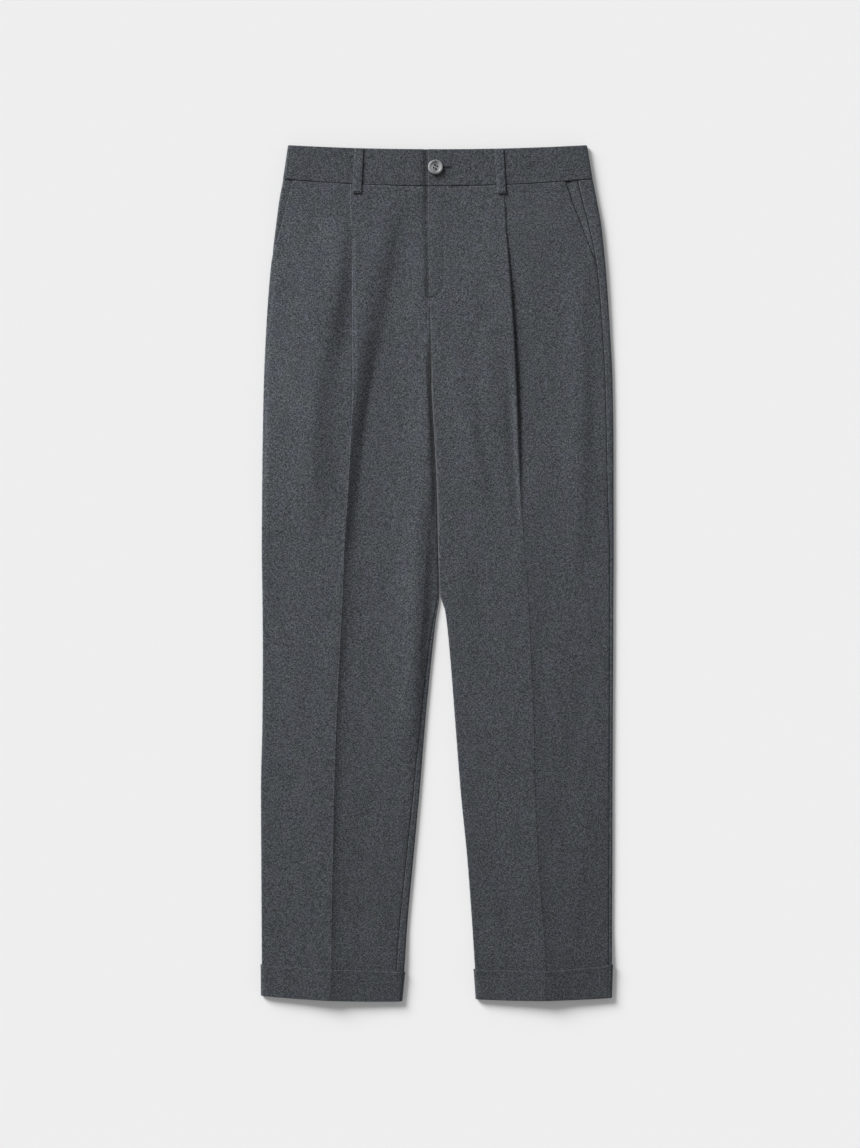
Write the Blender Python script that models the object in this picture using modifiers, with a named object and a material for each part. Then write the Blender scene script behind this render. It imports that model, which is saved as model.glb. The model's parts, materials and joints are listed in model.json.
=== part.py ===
"""Pleated wool trousers laid flat with the front up, in metres.

+X points to the right as one looks down on them, +Y to the waist and +Z up from the surface that they
lie on. The origin is under the middle of the whole. "down" is a distance below the top of the
waistband, and "out" a distance from the line x = 0 towards a leg's own side. The wearer's left leg is
at +X. Heights in the tables are those of the middle of the cloth's wall.
"""

import math

import bpy
import numpy as np
from mathutils import Matrix

# Whole garment
LENGTH = 1.064
TOP_Y = LENGTH / 2
SIDES = {"left": 1, "right": -1}

# Cloth
WALL = 0.0012
SEAM_GAP = 0.0003
LAP_DROP = WALL + SEAM_GAP
FLOOR_LEVEL = WALL / 2

# Waistband
BAND_DEPTH = 0.0425
BAND_WALL = 0.0020
BAND_LEVEL = 0.0060
BAND_LAP = 0.0300
BAND_DROP = BAND_WALL + SEAM_GAP
BAND_RAMP = 0.0140
BAND_SAG = 0.0006
WAIST_DIP = 0.0050
SEAM_DIP = 0.0083
DIP_FADE = 0.0700

# Fly
FLY_LAP = 0.0120
FLY_END = 0.1860
FLY_TAPER = 0.0060
FLY_SETTLED = 0.2020
FLY_RAMP = 0.0120
FLY_DROP = LAP_DROP + 0.0002

# Pocket
POCKET_NARROW = 0.1370
POCKET_END = 0.1460
POCKET_CLOSED = 0.1500
POCKET_TIP = 0.0050
POCKET_LEAST = 0.0016
POCKET_DROP = LAP_DROP + 0.0004

# Crotch and the level where the front's centre seam starts to dip to it
CROTCH = 0.2980
CENTRE_DIP = 0.2300

# Turn-ups
TURN_UP_TOP = 1.0210
TURN_UP_DEPTH = 0.0400
HEM = TURN_UP_TOP + TURN_UP_DEPTH
TURN_UP_OFFSET = WALL + SEAM_GAP
LIFT_START = 0.9700
HEM_FADE = 0.0900
HEM_BOW = 0.0010
HEM_TILT = {"left": 0.0017, "right": 0.0070}

# Crease and pleat
CREASE_SHARE = 0.35
CREASE_REACH = 0.0080
TENT_POWER = 2.0
SAG = 0.0003

# Belt loops
LOOP_WALL = 0.0015
LOOP_WIDTH = 0.0112
LOOP_TOP = 0.0006
LOOP_END = 0.0575
LOOP_SLACK = 0.0012
LOOP_CROWN = 0.0002
LOOP_LANDING = 0.0010
LOOP_LANDING_RUN = 0.0090
LOOP_COLUMNS = ("side", "top_out", "end_out")
LOOPS = (
    ("left", 0.0769, 0.0803),
    ("right", 0.0971, 0.0998),
)

# Button, and the keyhole that its shank stands in
BUTTON_X = -0.0020
BUTTON_DOWN = 0.0225
BUTTON_RADIUS = 0.0092
BUTTON_HEIGHT = 0.0030
BUTTON_DISH = 0.0012
BUTTON_HOLE_RADIUS = 0.0009
BUTTON_HOLE_SPREAD = 0.0025
BUTTON_HOLE_ANGLE = 17
BUTTON_HOLE_STOP = 0.0006
SHANK_RADIUS = 0.0011
EYE_RADIUS = 0.0016
SLIT_LENGTH = 0.0200
SLIT_WIDTH = 0.0008

PLAN_COLUMNS = ("down", "outer", "crease", "inner")
LEFT_PLAN = (
    (0.0000, 0.1865, 0.0831, -0.0113),
    (0.0425, 0.1937, 0.0831, -0.0113),
    (0.0680, 0.1987, 0.0843, -0.0109),
    (0.0990, 0.2042, 0.0856, -0.0107),
    (0.1370, 0.2085, 0.0885, -0.0103),
    (0.1800, 0.2121, 0.0918, -0.0097),
    (0.2300, 0.2152, 0.0949, -0.0082),
    (0.2980, 0.2185, 0.0983, -0.0067),
    (0.3790, 0.2196, 0.1014, -0.0021),
    (0.4410, 0.2197, 0.1044, 0.0006),
    (0.5030, 0.2198, 0.1090, 0.0015),
    (0.5580, 0.2195, 0.1136, 0.0034),
    (0.5800, 0.2194, 0.1150, 0.0097),
    (0.6280, 0.2192, 0.1166, 0.0150),
    (0.7150, 0.2187, 0.1204, 0.0219),
    (0.8020, 0.2183, 0.1222, 0.0287),
    (0.8890, 0.2181, 0.1260, 0.0372),
    (0.9630, 0.2177, 0.1316, 0.0427),
    (1.0230, 0.2175, 0.1357, 0.0466),
    (1.0610, 0.2163, 0.1366, 0.0490),
)
RIGHT_PLAN = (
    (0.0000, 0.1855, 0.1075, 0.0113),
    (0.0425, 0.1919, 0.1075, 0.0113),
    (0.0680, 0.1965, 0.1074, 0.0109),
    (0.0990, 0.2007, 0.1065, 0.0107),
    (0.1370, 0.2054, 0.1055, 0.0103),
    (0.1800, 0.2096, 0.1051, 0.0097),
    (0.2300, 0.2129, 0.1048, 0.0082),
    (0.2980, 0.2159, 0.1044, 0.0067),
    (0.3790, 0.2175, 0.1089, 0.0021),
    (0.4410, 0.2181, 0.1120, -0.0006),
    (0.5030, 0.2185, 0.1162, -0.0015),
    (0.5580, 0.2177, 0.1182, -0.0030),
    (0.5900, 0.2174, 0.1198, 0.0014),
    (0.6280, 0.2172, 0.1217, 0.0058),
    (0.7150, 0.2177, 0.1259, 0.0143),
    (0.8020, 0.2195, 0.1289, 0.0215),
    (0.8890, 0.2191, 0.1305, 0.0296),
    (0.9630, 0.2187, 0.1319, 0.0364),
    (1.0230, 0.2183, 0.1327, 0.0406),
    (1.0610, 0.2180, 0.1350, 0.0440),
)

# Levels of the front's wall at the inner edge, on the crease, beside it on the outer side, and at the
# outer edge; how far the pleat's layers lap, and how round its folds are
LEVEL_COLUMNS = ("down", "inner_level", "crest", "low", "outer_level", "lap", "round")
LEFT_LEVELS = (
    (0.0425, 0.0054, 0.0056, 0.0023, 0.0054, 0.0240, 0.00080),
    (0.0680, 0.0054, 0.0059, 0.0023, 0.0055, 0.0240, 0.00090),
    (0.0990, 0.0052, 0.0066, 0.0023, 0.0055, 0.0220, 0.00105),
    (0.1370, 0.0050, 0.0075, 0.0023, 0.0053, 0.0190, 0.00125),
    (0.1800, 0.0049, 0.0085, 0.0023, 0.0048, 0.0150, 0.00150),
    (0.2300, 0.0045, 0.0090, 0.0023, 0.0042, 0.0100, 0.00160),
    (0.2670, 0.0042, 0.0087, 0.0024, 0.0038, 0.0070, 0.00150),
    (0.2980, 0.0040, 0.0083, 0.0026, 0.0036, 0.0045, 0.00130),
    (0.3360, 0.0038, 0.0078, 0.0034, 0.0035, 0.0020, 0.00105),
    (0.3790, 0.0036, 0.0073, 0.0048, 0.0034, -0.0005, 0.00100),
    (0.4410, 0.0034, 0.0068, 0.0065, 0.0034, -0.0012, 0.00060),
    (0.5030, 0.0034, 0.0065, 0.0062, 0.0034, -0.0012, 0.00060),
    (0.6280, 0.0034, 0.0063, 0.0060, 0.0034, -0.0012, 0.00060),
    (0.8020, 0.0034, 0.0062, 0.0059, 0.0034, -0.0012, 0.00060),
    (0.8890, 0.0034, 0.0067, 0.0064, 0.0034, -0.0012, 0.00060),
    (0.9630, 0.0034, 0.0075, 0.0072, 0.0034, -0.0012, 0.00060),
    (1.0610, 0.0034, 0.0086, 0.0083, 0.0034, -0.0012, 0.00060),
)
RIGHT_LEVELS = (
    (0.0425, 0.0054, 0.0056, 0.0023, 0.0054, 0.0240, 0.00080),
    (0.0680, 0.0054, 0.0058, 0.0023, 0.0055, 0.0240, 0.00085),
    (0.0990, 0.0052, 0.0062, 0.0023, 0.0055, 0.0220, 0.00095),
    (0.1370, 0.0050, 0.0068, 0.0023, 0.0053, 0.0180, 0.00105),
    (0.1800, 0.0049, 0.0075, 0.0025, 0.0048, 0.0130, 0.00110),
    (0.2300, 0.0045, 0.0081, 0.0030, 0.0042, 0.0070, 0.00105),
    (0.2670, 0.0042, 0.0083, 0.0038, 0.0038, 0.0030, 0.00095),
    (0.2980, 0.0040, 0.0083, 0.0050, 0.0036, 0.0005, 0.00095),
    (0.3360, 0.0038, 0.0081, 0.0063, 0.0035, -0.0010, 0.00100),
    (0.3790, 0.0036, 0.0078, 0.0069, 0.0034, -0.0018, 0.00100),
    (0.4410, 0.0034, 0.0074, 0.0071, 0.0034, -0.0012, 0.00060),
    (0.5030, 0.0034, 0.0070, 0.0067, 0.0034, -0.0012, 0.00060),
    (0.6280, 0.0034, 0.0066, 0.0063, 0.0034, -0.0012, 0.00060),
    (0.8020, 0.0034, 0.0064, 0.0061, 0.0034, -0.0012, 0.00060),
    (0.8890, 0.0034, 0.0069, 0.0066, 0.0034, -0.0012, 0.00060),
    (0.9630, 0.0034, 0.0077, 0.0074, 0.0034, -0.0012, 0.00060),
    (1.0610, 0.0034, 0.0088, 0.0085, 0.0034, -0.0012, 0.00060),
)

# How far each seam lies round its edge from where the top turns down, less than zero when it shows on
# top, and the width of the side piece between the side seam and the pocket opening
SEAM_COLUMNS = ("down", "inseam", "outseam", "pocket")
LEFT_SEAMS = (
    (0.0425, 0.0000, -0.0155, 0.0153),
    (0.0680, 0.0000, -0.0148, 0.0133),
    (0.0990, 0.0000, -0.0123, 0.0098),
    (0.1370, 0.0000, -0.0088, 0.0030),
    (0.1500, 0.0000, -0.0080, 0.0000),
    (0.2300, 0.0000, -0.0070, 0.0000),
    (0.2670, 0.0014, -0.0070, 0.0000),
    (0.2980, 0.0027, -0.0070, 0.0000),
    (0.3790, 0.0030, -0.0064, 0.0000),
    (0.4410, 0.0030, -0.0051, 0.0000),
    (0.5030, 0.0030, -0.0028, 0.0000),
    (0.7150, 0.0030, -0.0020, 0.0000),
    (1.0610, 0.0028, -0.0018, 0.0000),
)
RIGHT_SEAMS = (
    (0.0425, 0.0000, 0.0060, 0.0153),
    (0.0680, 0.0000, 0.0060, 0.0133),
    (0.0990, 0.0000, 0.0060, 0.0098),
    (0.1370, 0.0000, 0.0058, 0.0030),
    (0.1500, 0.0000, 0.0056, 0.0000),
    (0.1800, 0.0000, 0.0050, 0.0000),
    (0.2300, 0.0000, 0.0042, 0.0000),
    (0.2670, 0.0014, 0.0038, 0.0000),
    (0.2980, 0.0027, 0.0035, 0.0000),
    (0.3790, 0.0022, 0.0032, 0.0000),
    (0.4410, 0.0014, 0.0032, 0.0000),
    (0.5580, 0.0000, 0.0032, 0.0000),
    (0.6280, -0.0025, 0.0032, 0.0000),
    (0.7150, -0.0042, 0.0032, 0.0000),
    (0.8890, -0.0066, 0.0032, 0.0000),
    (1.0610, -0.0083, 0.0030, 0.0000),
)

# Soft folds of the fronts: where each starts and ends, its half width and its height, below zero for a
# trough
FOLD_COLUMNS = ("side", "start_out", "start_down", "end_out", "end_down", "half_width", "height")
FOLDS = (
    ("right", 0.1480, 0.1500, 0.1580, 0.4300, 0.0110, 0.0012),
    ("right", 0.0700, 0.1300, 0.0900, 0.3600, 0.0110, -0.0012),
    ("right", 0.0850, 0.3000, 0.1060, 0.5000, 0.0080, -0.0012),
    ("right", 0.1700, 0.5600, 0.1800, 0.7800, 0.0160, 0.0007),
    ("left", 0.0600, 0.2500, 0.0680, 0.4000, 0.0090, 0.0010),
    ("left", 0.0860, 0.2400, 0.0940, 0.4700, 0.0070, -0.0012),
    ("left", 0.1860, 0.2300, 0.1870, 0.4600, 0.0080, 0.0008),
    ("left", 0.1330, 0.5800, 0.1340, 0.7600, 0.0090, -0.0007),
    ("left", 0.0700, 0.9300, 0.0720, 1.0150, 0.0080, 0.0007),
)

# Rows of the meshes down the garment: where each run of them ends, and its number of steps
PANEL_RUNS = (
    (POCKET_NARROW, 4),
    (POCKET_END, 1),
    (POCKET_CLOSED, 1),
    (FLY_END - FLY_TAPER, 1),
    (FLY_END, 1),
    (FLY_SETTLED, 1),
    (CENTRE_DIP, 1),
    (CROTCH, 4),
    (0.3360, 2),
    (0.5030, 3),
    (0.5580, 1),
    (0.6280, 3),
    (0.9630, 5),
    (TURN_UP_TOP, 3),
    (HEM - WALL - SEAM_GAP, 2),
)

# Columns of the meshes across the garment, as shares of a run, closest together where it rounds an edge
EDGE_SHARES = (0.0, 0.003, 0.016, 0.031, 0.048, 0.07, 0.11, 0.24, 0.47, 0.72, 0.90, 1.0)
HIDDEN_SHARES = (0.07, 0.048, 0.031, 0.016, 0.0)
WRAP_SHARES = (0.0, 0.02, 0.3, 0.55, 0.78, 1.0)
OPENING_SHARES = (0.33, 0.67, 1.0)
FLOOR_STEPS = 4
FOLD_STEPS = 3
BEND_STEPS = 6
BAND_STEPS = 9
RAMP_STEPS = 5
BAND_ROWS = 4
LOOP_STEPS = 12
DENSE = 120

CLOTH_COLOUR = (0.075, 0.083, 0.091, 1.0)
BUTTON_COLOUR = (0.24, 0.25, 0.25, 1.0)


# Tables

def table(columns, rows):
    """A table's columns as arrays, by name."""
    return {name: np.array([row[i] for row in rows], float) for i, name in enumerate(columns)}


def read(columns, name, down):
    """A column's value at a level, on a smooth curve that never overshoots its rows."""
    places, values = columns["down"], columns[name]
    steps = np.diff(places)
    slopes = np.diff(values) / steps
    product = slopes[1:] * slopes[:-1]
    total = np.where(product > 0, slopes[1:] + slopes[:-1], 1.0)
    inner = np.where(product > 0, 2 * product / total, 0.0)
    tangents = np.concatenate([[slopes[0]], inner, [slopes[-1]]])
    down = np.clip(down, places[0], places[-1])
    k = int(np.clip(np.searchsorted(places, down) - 1, 0, len(steps) - 1))
    t = (down - places[k]) / steps[k]
    rise = values[k + 1] - values[k]
    bend = (t - 1) * tangents[k] + t * tangents[k + 1]
    return values[k] + rise * t * t * (3 - 2 * t) + steps[k] * t * (t - 1) * bend


PLANS = {"left": table(PLAN_COLUMNS, LEFT_PLAN), "right": table(PLAN_COLUMNS, RIGHT_PLAN)}
LEVELS = {"left": table(LEVEL_COLUMNS, LEFT_LEVELS), "right": table(LEVEL_COLUMNS, RIGHT_LEVELS)}
SEAMS = {"left": table(SEAM_COLUMNS, LEFT_SEAMS), "right": table(SEAM_COLUMNS, RIGHT_SEAMS)}


def smooth(share):
    """A step from 0 to 1 with level ends."""
    share = np.clip(share, 0.0, 1.0)
    return share * share * (3 - 2 * share)


# Shape of the garment

def lift(down):
    """How far the leg's tube lies above the floor, where the turn-up passes under it."""
    return TURN_UP_OFFSET * smooth((down - LIFT_START) / (TURN_UP_TOP - LIFT_START))


def row_y(side, out, down):
    """The y of a point on the row at this level: rows dip at the waist's middle and follow the hem."""
    x = SIDES[side] * out
    half = read(PLANS[side], "outer", 0.0)
    bow = 1 - np.clip(x / half, -1, 1) ** 2
    if down < BAND_DEPTH:
        dip = WAIST_DIP + (SEAM_DIP - WAIST_DIP) * down / BAND_DEPTH
    else:
        dip = SEAM_DIP * math.exp(-(((down - BAND_DEPTH) / DIP_FADE) ** 2))
    outer = read(PLANS[side], "outer", HEM)
    inner = read(PLANS[side], "inner", HEM)
    across = np.clip((outer - out) / (outer - inner), 0, 1)
    hem = HEM_TILT[side] * (across - 0.5) + HEM_BOW * 4 * across * (1 - across)
    return TOP_Y - down - dip * bow - hem * smooth((down - HEM + HEM_FADE) / HEM_FADE)


def soft_folds(side, out, down):
    """How far the soft folds raise the front here."""
    height = np.zeros_like(out)
    for row in FOLDS:
        fold = dict(zip(FOLD_COLUMNS, row))
        if fold["side"] != side:
            continue
        along = (down - fold["start_down"]) / (fold["end_down"] - fold["start_down"])
        if not 0 < along < 1:
            continue
        centre = fold["start_out"] + along * (fold["end_out"] - fold["start_out"])
        spread = np.exp(-(((out - centre) / fold["half_width"]) ** 2))
        height += fold["height"] * math.sin(math.pi * along) ** 0.7 * spread
    return height


def leg_row(side, down):
    """All that the sections at this level need, as one dictionary."""
    row = {"side": side, "down": down}
    for columns in (PLANS[side], LEVELS[side], SEAMS[side]):
        for name in columns:
            if name != "down":
                row[name] = float(read(columns, name, down))
    raised = lift(down)
    for name in ("inner_level", "crest", "low", "outer_level"):
        row[name] += raised
    row["floor"] = FLOOR_LEVEL + raised
    row["inner_radius"] = (row["inner_level"] - row["floor"]) / 2
    row["outer_radius"] = (row["outer_level"] - row["floor"]) / 2
    row["outer"] -= WALL / 2
    row["inner"] += SEAM_GAP / 2 + WALL / 2 * math.sin(min(inner_turn(row), math.pi / 2))
    return row


def pleat_turn(height, lap, radius):
    """The angle that each fold of the pleat turns, and the straight run between the two folds."""

    def straight(turn):
        return (height - 2 * radius * (1 - math.cos(turn))) / math.sin(turn)

    low, high = math.radians(2), math.radians(179.8)
    for _ in range(50):
        middle = (low + high) / 2
        advance = 2 * radius * math.sin(middle) + straight(middle) * math.cos(middle)
        low, high = (middle, high) if advance > -lap else (low, middle)
    turn = (low + high) / 2
    return turn, max(straight(turn), 1e-5)


def pleat_line(row, steps=FOLD_STEPS):
    """The S of the pleat in section, from the end of the upper layer to the start of the lower one."""
    height = row["crest"] - row["low"]
    turn, straight = pleat_turn(height, row["lap"], row["round"])
    start = row["crease"] - row["round"] * math.sin(min(turn, math.pi / 2))
    angles = np.linspace(0, turn, steps + 1)
    upper = np.stack([np.sin(angles), np.cos(angles) - 1], axis=1) * row["round"]
    upper += (start, row["crest"])
    run = straight * np.array([math.cos(turn), -math.sin(turn)])
    lower = np.stack([-np.sin(angles[::-1]), 1 - np.cos(angles[::-1])], axis=1) * row["round"]
    lower += upper[-1] + run - lower[0]
    return np.concatenate([upper, lower])


def top_levels(row, outs, edge_level, crest_level, across):
    """The front's height between an edge and the crease. across is 0 at the crease and 1 at the edge."""
    width = abs(outs[-1] - outs[0])
    narrow = np.exp(-across * width / CREASE_REACH) * (1 - across)
    broad = (1 - across) ** TENT_POWER
    share = CREASE_SHARE * narrow + (1 - CREASE_SHARE) * broad
    ends = np.clip(6 * across * (1 - across), 0, 1)
    level = edge_level + (crest_level - edge_level) * share
    return level + ends * soft_folds(row["side"], outs, row["down"]) - SAG * np.sin(math.pi * across) ** 2


def arc(centre, radius, start, end, steps=24):
    """Points of an arc. Angles are from straight up, clockwise towards the outer side."""
    angles = np.linspace(start, end, steps + 1)
    return np.stack([centre[0] + radius * np.sin(angles), centre[1] + radius * np.cos(angles)], axis=1)


def inner_turn(row):
    """How far the front turns down at its inner edge: half a turn once the legs part."""
    if row["down"] >= CROTCH:
        return math.pi
    return min(row["inseam"] / row["inner_radius"], math.pi / 2)


def inner_centre(row):
    turn = inner_turn(row)
    reach = math.sin(min(turn, math.pi / 2)) * row["inner_radius"]
    return row["inner"] + reach


def inner_line(row, lap=0.0):
    """From round the inner edge across the top to the pleat, and the length before the top starts."""
    radius, turn = row["inner_radius"], inner_turn(row)
    centre = (inner_centre(row), row["inner_level"] - radius)
    end = pleat_line(row)[0]
    outs = np.linspace(centre[0], end[0], DENSE)
    across = (end[0] - outs) / (end[0] - centre[0])
    top = np.stack([outs, top_levels(row, outs, row["inner_level"], row["crest"], across)], axis=1)
    if turn > 1e-3:
        return np.concatenate([arc(centre, radius, -turn, 0)[:-1], top]), radius * turn
    if lap > 0:
        return np.concatenate([[(centre[0] - lap, row["inner_level"])], top]), lap
    return top, 0.0


def outer_line(row):
    """From the pleat across the top and round the outer edge, and the length before the edge turns."""
    radius = row["outer_radius"]
    start = pleat_line(row)[-1]
    centre = (row["outer"] - radius, row["outer_level"] - radius)
    outs = np.linspace(start[0], centre[0], DENSE)
    across = (outs - start[0]) / (centre[0] - start[0])
    top = np.stack([outs, top_levels(row, outs, row["outer_level"], row["low"], across)], axis=1)
    line = np.concatenate([top, arc(centre, radius, 0, math.pi)[1:]])
    return line, lengths(top)[-1]


def lengths(line):
    """The length along a line to each of its points."""
    return np.concatenate([[0.0], np.cumsum(np.hypot(*np.diff(line, axis=0).T))])


def pick(line, start, end, shares):
    """Points of a line between two lengths along it."""
    run = lengths(line)
    at = start + (end - start) * np.asarray(shares)
    return np.stack([np.interp(at, run, line[:, 0]), np.interp(at, run, line[:, 1])], axis=1)


def placed(side, line, down):
    """Points of a section as x, y, z."""
    out, level = line[:, 0], line[:, 1]
    return np.stack([SIDES[side] * out, row_y(side, out, down), level], axis=1)


# Sections of the panels

def fly_lap(side, down):
    """How far the right front runs under the left one at the fly."""
    if side == "left" or down > FLY_END:
        return 0.0
    return FLY_LAP * (1 - smooth((down - FLY_END + FLY_TAPER) / FLY_TAPER))


def front_inner(row):
    """The front from its inner edge, or from its lapped edge at the fly, to the pleat."""
    side, down = row["side"], row["down"]
    line, edge = inner_line(row, fly_lap(side, down))
    start = edge - row["inseam"] + SEAM_GAP / 2 if down > CENTRE_DIP else 0.0
    points = pick(line, max(start, 0.0), lengths(line)[-1], EDGE_SHARES)
    if side == "right" and down < FLY_SETTLED:
        settled = 1 - smooth((down - FLY_END) / (FLY_SETTLED - FLY_END))
        near = 1 - smooth((points[:, 0] - row["inner"] - WALL) / FLY_RAMP)
        points[:, 1] -= FLY_DROP * settled * near
    return points


def front_outer(row):
    """The front from the pleat to the side seam, or to the pocket opening where there is one."""
    line, edge = outer_line(row)
    end = edge + row["outseam"] - row["pocket"] - SEAM_GAP / 2
    return pick(line, 0.0, end, 1 - np.array(EDGE_SHARES[::-1]))


def front_line(row):
    return np.concatenate([front_inner(row)[:-1], pleat_line(row), front_outer(row)[1:]])


def back_line(row):
    """The back from the side seam round the outer edge, along the floor and round the inner edge."""
    line, edge = outer_line(row)
    outer = pick(line, edge + row["outseam"] + SEAM_GAP / 2, lengths(line)[-1], WRAP_SHARES)
    radius, turn = row["inner_radius"], inner_turn(row)
    if row["down"] >= CROTCH:
        line, edge = inner_line(row)
        inner = pick(line, edge - row["inseam"] - SEAM_GAP / 2, 0.0, WRAP_SHARES)[::-1]
    elif turn > 1e-3:
        rise = arc((inner_centre(row), row["floor"] + radius), radius, -math.pi + turn, -math.pi)
        inner = pick(rise, 0.0, radius * turn, WRAP_SHARES)[::-1]
    else:
        run = (1 - np.array(WRAP_SHARES)[::-1]) * WALL
        inner = np.stack([row["inner"] + WALL - run, np.full_like(run, row["floor"])], axis=1)
    floor = np.linspace(outer[-1], inner[0], FLOOR_STEPS + 1)
    return np.concatenate([outer[:-1], floor, inner[1:]])


def front_section(side, down):
    return placed(side, front_line(leg_row(side, down)), down)


def back_section(side, down):
    return placed(side, back_line(leg_row(side, down)), down)


def pocket_section(side, down):
    """The side piece, from under the front's own columns, dropped below them, out to the side seam."""
    row = leg_row(side, down)
    line, edge = outer_line(row)
    opening = row["pocket"] - SEAM_GAP
    width = max(opening, POCKET_LEAST)
    end = edge + row["outseam"] - row["pocket"] - SEAM_GAP / 2
    hidden = end * (1 - np.array(HIDDEN_SHARES))
    shown = end + width * np.array(OPENING_SHARES)
    points = pick(line, 0.0, 1.0, np.concatenate([hidden, shown]))
    covered = np.concatenate([np.ones(len(hidden)), 1 - np.array(OPENING_SHARES)])
    tip = 1 - smooth(opening / POCKET_TIP)
    drop = POCKET_DROP * np.maximum(smooth(covered), tip)
    ends = (2 * points[:1] - points[1:2], points, 2 * points[-1:] - points[-2:-1])
    return placed(side, points - corner_normals(np.concatenate(ends)) * drop[:, None], down)


def ring_section(side, down, offset):
    """A closed section round the whole leg: the front's and back's own points, moved out."""
    row = leg_row(side, down)
    loop = np.concatenate([front_inner(row), front_outer(row), back_line(row)[1:-1]])
    around = np.concatenate([loop[-1:], loop, loop[:1]])
    return placed(side, loop + corner_normals(around) * offset, down)


def corner_normals(line):
    """Normals at a line's inner points, lengthened at corners so that moved runs stay parallel."""
    along = np.diff(line, axis=0)
    along /= np.linalg.norm(along, axis=1)[:, None]
    across = np.stack([-along[:, 1], along[:, 0]], axis=1)
    both = across[:-1] + across[1:]
    return 2 * both / (both * both).sum(axis=1)[:, None]


def rows_of(runs, start):
    """Levels down the garment, evenly spaced in each run."""
    levels = [start]
    for end, count in runs:
        levels += list(np.linspace(levels[-1], end, count + 1)[1:])
    return levels


# Meshes

def material(name, colour, roughness):
    made = bpy.data.materials.new(name)
    made.use_nodes = True
    shader = made.node_tree.nodes["Principled BSDF"]
    shader.inputs["Base Color"].default_value = colour
    shader.inputs["Roughness"].default_value = roughness
    shader.inputs["Metallic"].default_value = 0.0
    return made


def add_object(name, mesh, finish, group):
    piece = bpy.data.objects.new(name, mesh)
    group.objects.link(piece)
    mesh.materials.append(finish)
    mesh.shade_smooth()
    return piece


def grid_mesh(name, sections, closed=False):
    """A mesh through a list of sections with the same number of points. A closed one joins both ways."""
    count, depth = len(sections[0]), len(sections)
    points = [tuple(point) for section in sections for point in section]
    faces = []
    for row in range(depth if closed else depth - 1):
        here, below = row * count, (row + 1) % depth * count
        for column in range(count if closed else count - 1):
            beside = (column + 1) % count
            faces.append((here + column, here + beside, below + beside, below + column))
    mesh = bpy.data.meshes.new(name)
    mesh.from_pydata(points, [], faces)
    return mesh


def lofted(name, sections, finish, group, wall):
    """A wall of cloth whose middle runs through a list of sections."""
    piece = add_object(name, grid_mesh(name, sections), finish, group)
    thicken = piece.modifiers.new("cloth", "SOLIDIFY")
    thicken.thickness = wall
    thicken.offset = 0.0
    thicken.use_even_offset = True
    return piece


def add_panels(group, cloth):
    levels = rows_of(PANEL_RUNS, BAND_DEPTH + SEAM_GAP)
    for side in SIDES:
        for name, section in (("front_", front_section), ("back_", back_section)):
            lofted(name + side, [section(side, down) for down in levels], cloth, group, WALL)


def add_pocket_sides(group, cloth):
    levels = rows_of(PANEL_RUNS[:2], BAND_DEPTH + SEAM_GAP)
    for side in SIDES:
        sections = [pocket_section(side, down) for down in levels]
        piece = lofted("pocket_side_" + side, sections, cloth, group, WALL)
        piece.modifiers["cloth"].use_even_offset = False


def add_turn_ups(group, cloth):
    """Each turn-up comes down outside the leg and turns in under its end, as far as its inner face."""
    outer = TURN_UP_OFFSET + WALL / 2
    inner = TURN_UP_OFFSET - WALL / 2
    middle = (TURN_UP_TOP + HEM) / 2
    profile = (
        (inner, TURN_UP_TOP),
        (outer, TURN_UP_TOP),
        (outer, middle),
        (outer, HEM - WALL),
        (outer - 0.3 * WALL, HEM - 0.3 * WALL),
        (inner, HEM),
        (-WALL / 2, HEM),
        (-WALL / 2, HEM - WALL),
        (inner, HEM - WALL),
        (inner, middle),
    )
    for side in SIDES:
        sections = [ring_section(side, down, offset) for offset, down in profile]
        mesh = grid_mesh("turn_up_" + side, sections, closed=True)
        if side == "left":
            mesh.flip_normals()
        add_object("turn_up_" + side, mesh, cloth, group)


# Waistband

def band_row(side, down):
    outer = float(read(PLANS[side], "outer", down)) - BAND_WALL / 2
    inner = float(read(PLANS[side], "inner", down)) + SEAM_GAP / 2
    return outer, inner


def band_section(side, down):
    """From the centre back along the floor, round the side and across the front to the closing."""
    outer, inner = band_row(side, down)
    radius = (BAND_LEVEL - BAND_WALL / 2) / 2
    bend = arc((outer - radius, BAND_WALL / 2 + radius), radius, math.pi, 0, BEND_STEPS)
    back = np.linspace((inner, BAND_WALL / 2), bend[0], FLOOR_STEPS + 1)
    ramp = inner + BAND_WALL / 2 + BAND_RAMP * np.linspace(1, 0, RAMP_STEPS + 1)
    outs = np.concatenate([np.linspace(bend[-1][0], ramp[0], BAND_STEPS + 1)[:-1], ramp])
    front = np.stack([outs, band_level(side, outs)], axis=1)
    if side == "right":
        front = np.concatenate([front, [(inner - BAND_LAP, front[-1][1])]])
    else:
        front[-1][0] = inner
    return placed(side, np.concatenate([back[:-1], bend, front[1:]]), down)


def band_level(side, outs):
    """The middle of the front band: it sags a little, and the right one drops to pass under the left."""
    outer, inner = band_row(side, BAND_DEPTH / 2)
    share = np.clip((outer - BAND_LEVEL - outs) / (outer - BAND_LEVEL - inner), 0, 1)
    level = BAND_LEVEL - BAND_SAG * np.sin(math.pi * share) ** 2
    if side == "right":
        level -= BAND_DROP * (1 - smooth((outs - inner - BAND_WALL / 2) / BAND_RAMP))
    return level


def band_top(side, out):
    """The height of the waistband's upper face."""
    return float(band_level(side, np.array([out]))[0]) + BAND_WALL / 2


def add_waistband(group, cutters, cloth):
    for side in SIDES:
        sections = [band_section(side, down) for down in np.linspace(0.0, BAND_DEPTH, BAND_ROWS)]
        band = lofted("waistband_" + side, sections, cloth, group, BAND_WALL)
        if side == "left":
            for cutter in keyhole_cutters(cutters):
                cut = band.modifiers.new(cutter.name, "BOOLEAN")
                cut.operation = "DIFFERENCE"
                cut.object = cutter


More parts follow.
